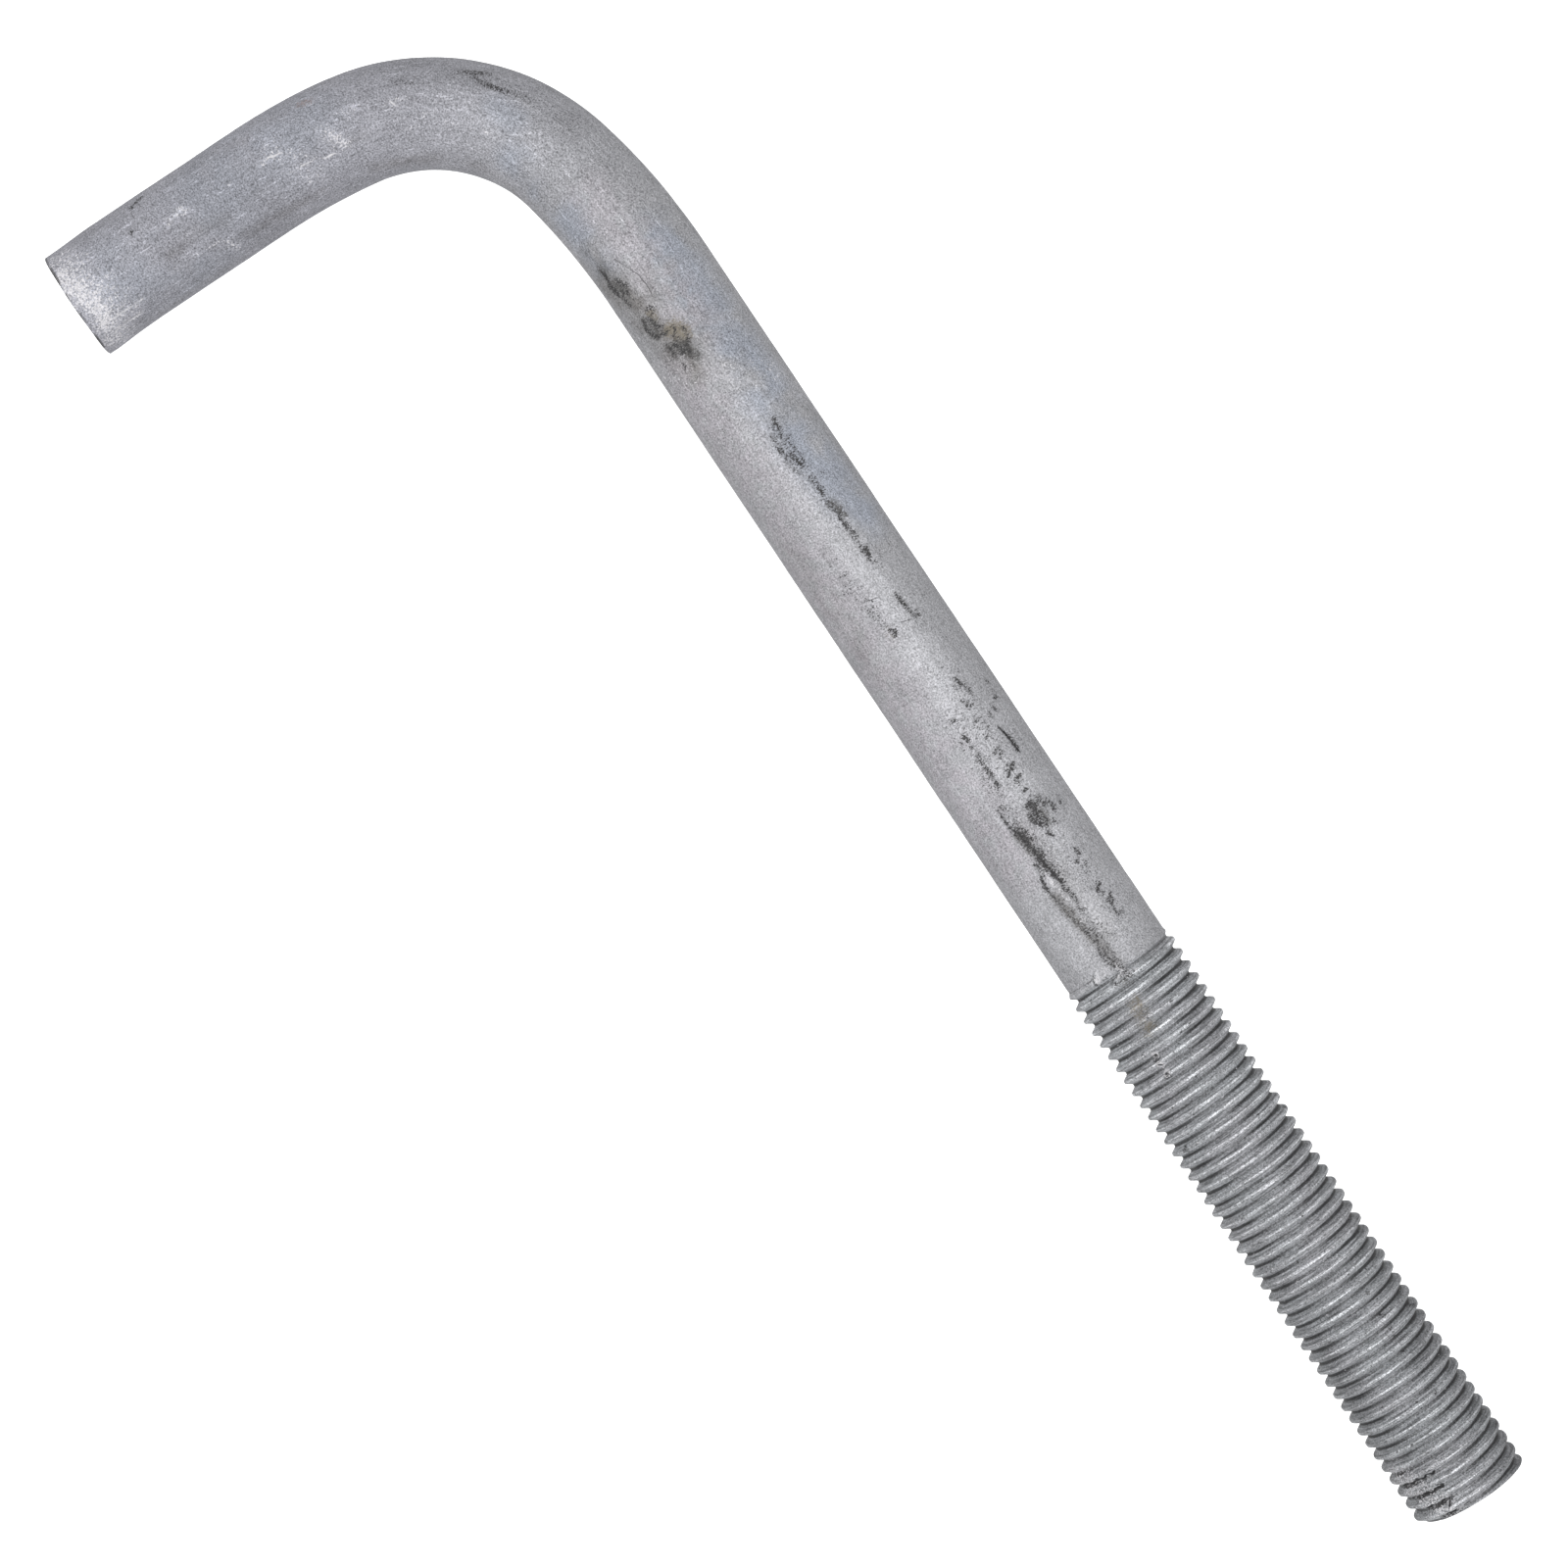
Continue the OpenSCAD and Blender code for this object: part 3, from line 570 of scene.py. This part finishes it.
# fine cracks and scratches: (points, half-width in mm, strength, wobble)
LINES = [
    ([(165.5, -30), (172.2, -19), (176.1, -18), (179.2, -20)], 0.15, 0.62, 0.5),
    ([(268.5, -11), (269.1, -1)], 0.15, 0.6, 0.5), ([(277.4, 7), (277.9, 17)], 0.15, 0.6, 0.5), ([(374.4, -84), (374.2, -36)], 0.15, 0.6, 0.5),
    # edges of the two seams
    ([(328.8, -18), (332.8, -17), (336.5, -12.6), (340.8, -10.6), (346.5, -7.6), (350.6, -5)], 0.30, 0.6, 1.4),
    ([(343.5, -17), (348.4, -20.5), (350.4, -21.5), (353.0, -19.4)], 0.22, 0.7, 1.2), ([(354.1, -18.6), (361.1, -15.6), (366.8, -8.6), (373.4, -6.6)], 0.22, 0.26, 1.2),
    # cracked zinc in the last roots
    ([(516.6, -68), (516.0, -58), (516.6, -51), (515.9, -43), (516.5, -37), (515.8, -31), (516.4, -25), (515.9, -22)], 0.26, 1.0, 0.8),
    ([(520.3, -67), (519.7, -61), (520.2, -55)], 0.26, 1.0, 0.8), ([(520.5, -50), (519.8, -44), (520.2, -38.5)], 0.32, 1.0, 1.0),
    ([(520.3, -35.5), (519.6, -29.5), (520.2, -24), (519.4, -22), (519.1, -25.5)], 0.28, 1.0, 1.0),
    ([(523.5, -52), (523.0, -44), (523.6, -37), (522.9, -29.5), (523.7, -26), (523.2, -23)], 0.28, 1.0, 0.8), ([(523.8, -25.5), (524.8, -28)], 0.26, 1.0, 0.5),
    ([(526.7, -44), (526.3, -37), (526.6, -30), (526.4, -25.5)], 0.28, 1.0, 0.7), ([(526.4, -14), (526.2, -9)], 0.20, 0.8, 0.7),
    # shadows of the curls
    ([(397.3, -24.6), (397.4, -23.0)], 0.30, 0.95, 0.3), ([(399.8, -24.0), (399.9, -22.4)], 0.28, 0.9, 0.3), ([(402.4, -23.2), (402.5, -21.6)], 0.32, 0.95, 0.3),
    ([(398.5, -26.5), (398.5, -21.5)], 0.22, 0.8, 0.5), ([(403.6, -26), (403.6, -20.5)], 0.24, 0.8, 0.5),
    # scores in the pitted stretch
    ([(311.2, 31.0), (314.3, 33.6), (318.6, 35.6)], 0.26, 0.95, 0.6), ([(308.6, -4.8), (313.0, -2.8), (317.6, -3.6), (323.0, -3.4)], 0.15, 0.3, 0.9),
]
# curls of zinc where the thread starts, the same way, lighter than the skin
CURLS = [
    ([(374.6, -31.5), (375.7, -31), (375.5, -27.5), (374.2, -27.5), (373.0, -26)], 0.20, 0.8, 0.7), ([(373.2, -22.5), (374.0, -19), (375.2, -22)], 0.20, 0.7, 0.7),
    ([(397.74, -21.9), (396.96, -21.1), (396.5, -23.8), (396.96, -26.5), (397.74, -25.7)], 0.22, 1.0, 0.4),
    ([(400.24, -21.3), (399.46, -20.5), (399.0, -23.2), (399.46, -25.9), (400.24, -25.1)], 0.22, 0.9, 0.4), ([(402.84, -20.5), (402.06, -19.7), (401.6, -22.4), (402.06, -25.1), (402.84, -24.3)], 0.22, 1.0, 0.4),
    # white dashes on the bend
    ([(72.0, -27.2), (74.1, -28)], 0.30, 1.0, 0.4), ([(59.8, 0.4), (62.4, -1.7)], 0.24, 0.75, 0.8), ([(65.4, -23.6), (68.8, -23.6)], 0.18, 0.6, 0.9), ([(92.2, 2.8), (93.6, -2.4)], 0.20, 0.75, 0.6),
    # scratches in the chalky patch
    ([(5.2, -47), (14.8, -49)], 0.22, 0.6, 0.6), ([(4.6, -61.5), (12.6, -63)], 0.22, 0.6, 0.6),
]


def store_lines(name, lines):
    """For the nearest line: distance with a sign for the side, and wobble, both in half-widths; and strength, nil 1 mm away."""
    best, away, sway, on = np.full(len(v_s), 1e9), np.full(len(v_s), 9.0), np.zeros(len(v_s)), np.zeros(len(v_s))
    for line, width, strength, wobble in lines:
        for (a0, b0), (a1, b1) in zip(line, line[1:]):
            d = to_line(v_s, v_q, [(a0, b0), (a1, b1)])
            side = np.where((v_q - b0) * (a1 - a0) < (v_s - a0) * (b1 - b0), -1, 1)
            m = d < best
            away[m], sway[m], on[m] = (side * d / width)[m], wobble / width, strength * (1 - smooth(0.5, 1.0, d[m]))
            best = np.minimum(best, d)
    store(name, np.clip(away, -9, 9))
    store(name + "_sway", sway)
    store(name + "_on", on * (1 - flat))


store_lines("line", LINES)
store_lines("curl", CURLS)

# ---------------------------------------------------------------- material
zinc = bpy.data.materials.new("zinc_steel")
zinc.use_nodes = True
tree = zinc.node_tree
tree.nodes.clear()


def new(kind, **settings):
    node = tree.nodes.new(kind)
    for k, v in settings.items():
        setattr(node, k, v)
    return node


def feed(socket, value):
    if hasattr(value, "is_output"):
        tree.links.new(value, socket)
    else:
        socket.default_value = value


def attribute(name):
    return new("ShaderNodeAttribute", attribute_name=name).outputs["Fac"]


def calc(op, a, b=0.0, c=0.0, clamp=False):
    node = new("ShaderNodeMath", operation=op, use_clamp=clamp)
    for socket, v in zip(node.inputs, (a, b, c)):
        feed(socket, v)
    return node.outputs[0]


def grain(scale, detail=2.0, rough=0.5, vector=None):
    node = new("ShaderNodeTexNoise", noise_dimensions="3D")
    feed(node.inputs["Vector"], vector or coords)
    feed(node.inputs["Scale"], scale)
    feed(node.inputs["Detail"], detail)
    feed(node.inputs["Roughness"], rough)
    return node.outputs["Fac"]


def stretched(x, y, z):
    """Millimetres on the straightened bar times a factor along it and two across it."""
    node = new("ShaderNodeVectorMath", operation="MULTIPLY")
    feed(node.inputs[0], straight_a)
    feed(node.inputs[1], (x, y, z))
    return node.outputs[0]


def between(v, lo, hi, a=0.0, b=1.0):
    node = new("ShaderNodeMapRange", interpolation_type="SMOOTHSTEP")
    for name, value in (("Value", v), ("From Min", lo), ("From Max", hi), ("To Min", a), ("To Max", b)):
        feed(node.inputs[name], value)
    return node.outputs["Result"]


def mix(fac, a, b, blend="MIX"):
    node = new("ShaderNodeMix", data_type="RGBA", blend_type=blend)
    feed(node.inputs[0], fac)
    feed(node.inputs[6], a)
    feed(node.inputs[7], b)
    return node.outputs[2]


coords = new("ShaderNodeTexCoord").outputs["Object"]
straight_a = new("ShaderNodeAttribute", attribute_name="straight").outputs["Vector"]
fine, mid_grain = grain(2550, 2.0, 0.65), grain(620, 2.0)
# specks, a little longer round the bar than along it
speck = grain(1.0, 2.5, 0.65, stretched(3.1, 1.8, 1.8))
grit = grain(1.0, 1.0, 0.5, stretched(2.4, 1.9, 1.9))
mottle, cloud = grain(170, 3.0), grain(45, 2.0)
tint_a, tint_b = grain(90, 2.0), grain(260, 2.0)
dark, smudge, pale, rust, blue, lilac = map(attribute, ("dark", "smudge", "pale", "rust", "blue", "lilac"))
haze, painted_highlight, phase, tone_light_and_shade, dull = map(attribute, ("haze", "painted_highlight", "phase", "tone_light_and_shade", "dull"))
thread_a, leg_a, groove_grime_and_shade, clump_a = map(attribute, ("thread", "leg", "groove_grime_and_shade", "clump"))
pepper, shade_a, face_a, rim_a = map(attribute, ("pepper", "shade", "face", "rim"))


def about(v, gain, base):
    """base plus gain times v's distance from a half."""
    return calc("MULTIPLY_ADD", calc("SUBTRACT", v, 0.5), gain, base)


def speckled(amount, gain, lo, hi):
    """Specks that crowd together where the amount is high; none where it is nil."""
    return calc("MULTIPLY", between(about(speck, gain, amount), lo, hi), between(amount, 0.02, 0.16))


crest_a = calc("MULTIPLY", thread_a, between(phase, 0.04, 0.115, 1.0, 0.0))
root_a = calc("MULTIPLY", thread_a, between(attribute("groove"), 0.318, 0.458))
# drawing marks along the bar, and rolling marks that follow the thread's helix
drawn = grain(1.0, 2.0, 0.6, stretched(0.075, 1.1, 1.1))
hairline = grain(1.0, 2.0, 0.6, stretched(0.05, 2.4, 2.4))
clot = grain(1.0, 2.5, 0.65, stretched(1.9, 1.9, 1.9))
sheared = grain(1.0, 2.0, 0.6, stretched(0.3, 0.16, 1.7))
scratch = grain(1.0, 1.0, 0.5, stretched(0.30, 1.7, 1.7))
chip = grain(1.0, 1.0, 0.5, stretched(1.5, 0.8, 0.8))
along = new("ShaderNodeSeparateXYZ")
feed(along.inputs[0], straight_a)
axes = new("ShaderNodeSeparateXYZ")
feed(axes.inputs[0], coords)
angle = calc("ARCTAN2", calc("SUBTRACT", axes.outputs[2], CORNER[2] / 1000), calc("SUBTRACT", axes.outputs[1], CORNER[1] / 1000))
helix = new("ShaderNodeCombineXYZ")
feed(helix.inputs[0], calc("MULTIPLY_ADD", angle, -PITCH / (2 * math.pi) / 0.32, calc("MULTIPLY", axes.outputs[0], 1000 / 0.32)))
feed(helix.inputs[1], calc("MULTIPLY", angle, 1.4))
turned = grain(1.0, 2.5, 0.65, helix.outputs[0])
spread = new("ShaderNodeVectorMath", operation="MULTIPLY")
feed(spread.inputs[0], helix.outputs[0])
feed(spread.inputs[1], (0.32 / 2.6, 1.0, 1.0))
run = grain(1.0, 1.0, 0.5, spread.outputs[0])   # changes from turn to turn, slowly along each

# brightness of the zinc: spangle-like mottling, salt-and-pepper grain
light = about(fine, calc("MULTIPLY_ADD", thread_a, 0.9, calc("MULTIPLY_ADD", leg_a, -0.44, 3.0)), about(mid_grain, 0.20, about(mottle, 0.34, about(cloud, 0.22, 1.0))))
light = calc("MAXIMUM", light, 0.30)
# hook duller, and painted shade and painted light on the thread's sides and flanks
light = calc("MULTIPLY", light, tone_light_and_shade)
light = calc("MULTIPLY", light, about(drawn, 0.36, 1.0))
light = calc("MULTIPLY", light, calc("MULTIPLY_ADD", calc("SUBTRACT", 1.0, calc("MAXIMUM", thread_a, face_a)), about(hairline, 0.24, 0.0), 1.0))
light = calc("MULTIPLY", light, calc("MULTIPLY_ADD", thread_a, about(turned, 3.2, 0.0), 1.0))
light = calc("MULTIPLY", light, calc("MULTIPLY_ADD", face_a, about(sheared, 0.9, about(mottle, 0.9, -0.10)), 1.0))
light = calc("MULTIPLY", light, calc("SUBTRACT", 1.0, shade_a))
light = calc("MULTIPLY", light, calc("MULTIPLY_ADD", pale, 0.30, 1.0))
light = calc("MULTIPLY", light, calc("MULTIPLY_ADD", dark, -0.22, 1.0))
# painted highlight from the highlight marks
light = calc("MULTIPLY", light, calc("ADD", painted_highlight, 1.0))
light = calc("MULTIPLY", light, calc("MULTIPLY_ADD", between(scratch, 0.62, 0.72), calc("MULTIPLY_ADD", leg_a, -0.30, 0.38), 1.0))
# lighter crests, partly worn zinc and partly painted highlight; flanks lightened towards the grooves, painted light;
# grooves darkened, partly grime and partly painted shade
light = calc("MULTIPLY", light, calc("MULTIPLY_ADD", crest_a, calc("MULTIPLY", calc("MULTIPLY", between(run, 0.36, 0.54, 0.22, 0.74), between(along.outputs[0], 400, 520, 1.0, 0.7)), between(mid_grain, 0.34, 0.60, 0.55, 1.0)), 1.0))
flank_a = calc("MULTIPLY", thread_a, between(phase, 0.12, 0.27, 0.0, 0.16))
light = calc("MULTIPLY", light, calc("ADD", flank_a, 1.0))
filled = calc("MULTIPLY_ADD", clump_a, -0.75, 1.0)
light = calc("MULTIPLY", light, calc("MULTIPLY_ADD", calc("MULTIPLY", groove_grime_and_shade, filled), calc("MULTIPLY", root_a, -0.92), 1.0))

base = mix(dull, (0.374, 0.375, 0.394, 1), (0.371, 0.372, 0.411, 1))
tint = mix(calc("MULTIPLY", blue, between(tint_a, 0.30, 0.60)), base, (0.343, 0.364, 0.416, 1))
tint = mix(calc("MULTIPLY", lilac, between(tint_b, 0.30, 0.60)), tint, (0.385, 0.368, 0.396, 1))
tint = mix(calc("MULTIPLY", thread_a, between(tint_a, 0.35, 0.60, 0.3, 1.0)), tint, (0.366, 0.377, 0.393, 1))
scaled = new("ShaderNodeVectorMath", operation="SCALE")
feed(scaled.inputs[0], tint)
feed(scaled.inputs["Scale"], light)
colour = scaled.outputs[0]
colour = mix(calc("MULTIPLY", haze, between(mottle, 0.30, 0.65, 3.2, 1.4)), colour, (0.60, 0.575, 0.54, 1), "MULTIPLY")
pale_mask = calc("MULTIPLY", between(about(clot, 3.6, about(mid_grain, 0.6, pale)), 0.46, 1.02), between(pale, 0.02, 0.16))
pale_mask = calc("MAXIMUM", pale_mask, calc("MULTIPLY", thread_a, between(chip, 0.74, 0.80, 0.0, 0.8)))
bloom = new("ShaderNodeVectorMath", operation="SCALE")
feed(bloom.inputs[0], (0.71, 0.70, 0.725))
feed(bloom.inputs["Scale"], about(fine, 1.5, 1.0))
colour = mix(pale_mask, colour, bloom.outputs[0])
rust_mask = calc("MULTIPLY", between(about(speck, 2.4, about(mid_grain, 0.6, rust)), 0.20, 1.05, 0.0, 0.9), between(rust, 0.02, 0.16))
rusty = mix(dull, (0.225, 0.196, 0.150, 1), (0.290, 0.200, 0.175, 1))
colour = mix(rust_mask, colour, rusty)
smudge_mask = between(about(speck, 2.3, about(mid_grain, 0.7, smudge)), 0.12, 1.05)
smudge_mask = calc("MULTIPLY", smudge_mask, between(smudge, 0.02, 0.30))
colour = mix(smudge_mask, colour, (0.088, 0.085, 0.082, 1))
dark_mask = speckled(dark, 2.9, 0.45, 0.80)
pit = grain(1.0, 1.0, 0.5, stretched(0.85, 0.6, 0.6))
dark_mask = calc("MAXIMUM", dark_mask, calc("MULTIPLY", thread_a, between(pit, 0.22, 0.27, 0.9, 0.0)))
caked = between(about(speck, 2.6, calc("MULTIPLY", clump_a, between(phase, 0.16, 0.42))), 0.58, 0.85)
dark_mask = calc("MAXIMUM", dark_mask, calc("MULTIPLY", caked, between(clump_a, 0.05, 0.30)))
pits = calc("MULTIPLY", between(about(grit, 2.6, calc("MULTIPLY", pepper, 0.5)), 0.60, 0.82, 0.0, 0.75), between(pepper, 0.02, 0.16))
dark_mask = calc("MAXIMUM", dark_mask, pits)
dark_mask = calc("MAXIMUM", dark_mask, calc("MULTIPLY", rim_a, between(about(tint_b, 2.2, about(mid_grain, 1.0, rim_a)), 0.40, 0.80)))
colour = mix(dark_mask, colour, (0.043, 0.042, 0.043, 1))


def hairs(name, solid):
    """The fine lines of one set, wavering and broken here and there."""
    away = calc("MULTIPLY_ADD", calc("SUBTRACT", mid_grain, 0.5), attribute(name + "_sway"), attribute(name))
    body = calc("MULTIPLY", between(calc("ABSOLUTE", away), 0.5, 1.5, 1.0, 0.0), attribute(name + "_on"))
    return calc("MULTIPLY", body, between(tint_b, 0.36, 0.52, solid, 1.0))


colour = mix(hairs("curl", 0.35), colour, (0.74, 0.73, 0.75, 1))
colour = mix(hairs("line", 0.55), colour, (0.014, 0.014, 0.015, 1))

shader = new("ShaderNodeBsdfPrincipled")
feed(shader.inputs["Base Color"], colour)
feed(shader.inputs["Metallic"], calc("MULTIPLY_ADD", dark_mask, -0.20, calc("MULTIPLY_ADD", crest_a, 0.35, 0.25)))
gloss = calc("MULTIPLY_ADD", dull, 0.12, between(mid_grain, 0.3, 0.7, 0.54, 0.66))
gloss = calc("MULTIPLY_ADD", crest_a, -0.20, gloss)
feed(shader.inputs["Roughness"], calc("MULTIPLY_ADD", dark_mask, 0.20, gloss))
bump = new("ShaderNodeBump")
feed(bump.inputs["Strength"], 0.5)
feed(bump.inputs["Distance"], 0.00015)
feed(bump.inputs["Height"], calc("MULTIPLY_ADD", mid_grain, 0.8, fine))
feed(shader.inputs["Normal"], bump.outputs["Normal"])
tree.links.new(shader.outputs[0], new("ShaderNodeOutputMaterial").inputs["Surface"])
mesh.materials.append(zinc)

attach(bolt, "root")
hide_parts("anchor_bolt")

# ---------------------------------------------------------------- floor, light, camera
floor_mesh = bpy.data.meshes.new("floor")
floor_mesh.from_pydata([(-4, -4, 0), (4, -4, 0), (4, 4, 0), (-4, 4, 0)], [], [(0, 1, 2, 3)])
floor = bpy.data.objects.new("floor", floor_mesh)
bpy.context.scene.collection.objects.link(floor)
paper = bpy.data.materials.new("floor_white")
paper.use_nodes = True
shade = paper.node_tree.nodes["Principled BSDF"]
shade.inputs["Base Color"].default_value = (0.92, 0.92, 0.92, 1)
shade.inputs["Roughness"].default_value = 0.9
shade.inputs["Specular IOR Level"].default_value = 0.1
floor_mesh.materials.append(paper)
floor.visible_diffuse = floor.visible_glossy = False   # its glare does not reach the bolt

# white backdrop that curves up from the floor all round
profile = [(1.6, 0.0005), (2.4, 0.002)] + [(2.4 + 1.4 * math.sin(a), 1.4 - 1.398 * math.cos(a)) for a in np.radians(np.arange(10, 91, 10))] + [(3.8, 5.0)]
SIDES = 64
ring = [(r * math.cos(2 * math.pi * j / SIDES), r * math.sin(2 * math.pi * j / SIDES), z) for r, z in profile for j in range(SIDES)]
quads = [(i * SIDES + j, i * SIDES + (j + 1) % SIDES, (i + 1) * SIDES + (j + 1) % SIDES, (i + 1) * SIDES + j) for i in range(len(profile) - 1) for j in range(SIDES)]
wall_mesh = bpy.data.meshes.new("backdrop")
wall_mesh.from_pydata(ring, [], quads)
wall_mesh.polygons.foreach_set("use_smooth", np.ones(len(wall_mesh.polygons), bool))
wall = bpy.data.objects.new("backdrop", wall_mesh)
bpy.context.scene.collection.objects.link(wall)
cloth = bpy.data.materials.new("backdrop_white")
cloth.use_nodes = True
shade = cloth.node_tree.nodes["Principled BSDF"]
shade.inputs["Base Color"].default_value = (0.92, 0.92, 0.92, 1)
shade.inputs["Roughness"].default_value = 0.9
shade.inputs["Emission Color"].default_value = (1, 1, 1, 1)
shade.inputs["Emission Strength"].default_value = 1.0
cloth.cycles.emission_sampling = "NONE"
wall_mesh.materials.append(cloth)
wall.visible_diffuse = wall.visible_glossy = wall.visible_shadow = False

scene = bpy.context.scene
world = bpy.data.worlds.new("studio")
world.use_nodes = True
world.node_tree.nodes["Background"].inputs["Color"].default_value = (1, 1, 1, 1)
world.node_tree.nodes["Background"].inputs["Strength"].default_value = 0.64
scene.world = world
scene.view_settings.view_transform = "Standard"
scene.view_settings.look = "None"

camera_data = bpy.data.cameras.new("camera")
camera = bpy.data.objects.new("camera", camera_data)
scene.collection.objects.link(camera)
camera_data.sensor_width = 36
camera_data.lens = 77.175
camera_data.clip_start, camera_data.clip_end = 0.01, 20
right, up, back = (0.553573, 0.832505, -0.022302), (-0.832043, 0.554013, 0.027919), (0.035598, 0.003101, 0.999362)
camera.matrix_world = Matrix((
    (right[0], up[0], back[0], CORNER[0] / 1000 + 0.224122),
    (right[1], up[1], back[1], CORNER[1] / 1000 - 0.040919),
    (right[2], up[2], back[2], 0.834896),
    (0, 0, 0, 1),
))
scene.camera = camera


def soft_light(name, where, size, power, lit):
    """A round softbox that faces the origin and lights one object."""
    data = bpy.data.lights.new(name, "AREA")
    data.shape = "DISK"
    data.size = size
    data.energy = power
    lamp = bpy.data.objects.new(name, data)
    lamp.location = where
    lamp.rotation_euler = Vector(where).to_track_quat("Z", "Y").to_euler()
    scene.collection.objects.link(lamp)
    group = bpy.data.collections.new(name + "_lights")
    group.objects.link(lit)
    lamp.light_linking.receiver_collection = group
    return lamp


soft_light("softbox_a", (0.85, 0.10, 1.0), 0.8, 5.2, bolt)
soft_light("softbox_b", (-0.60, -0.60, 0.95), 0.8, 3.7, bolt)
soft_light("softbox_top", (0.05, 0.02, 1.4), 0.6, 2.6, bolt)
# the floor has its own even light, so that it stays pale right up to the bolt
under = soft_light("floor_wash", (0, 0, 2.0), 3.0, 75, floor)
under.light_linking.blocker_collection = under.light_linking.receiver_collection

bpy.context.view_layer.update()
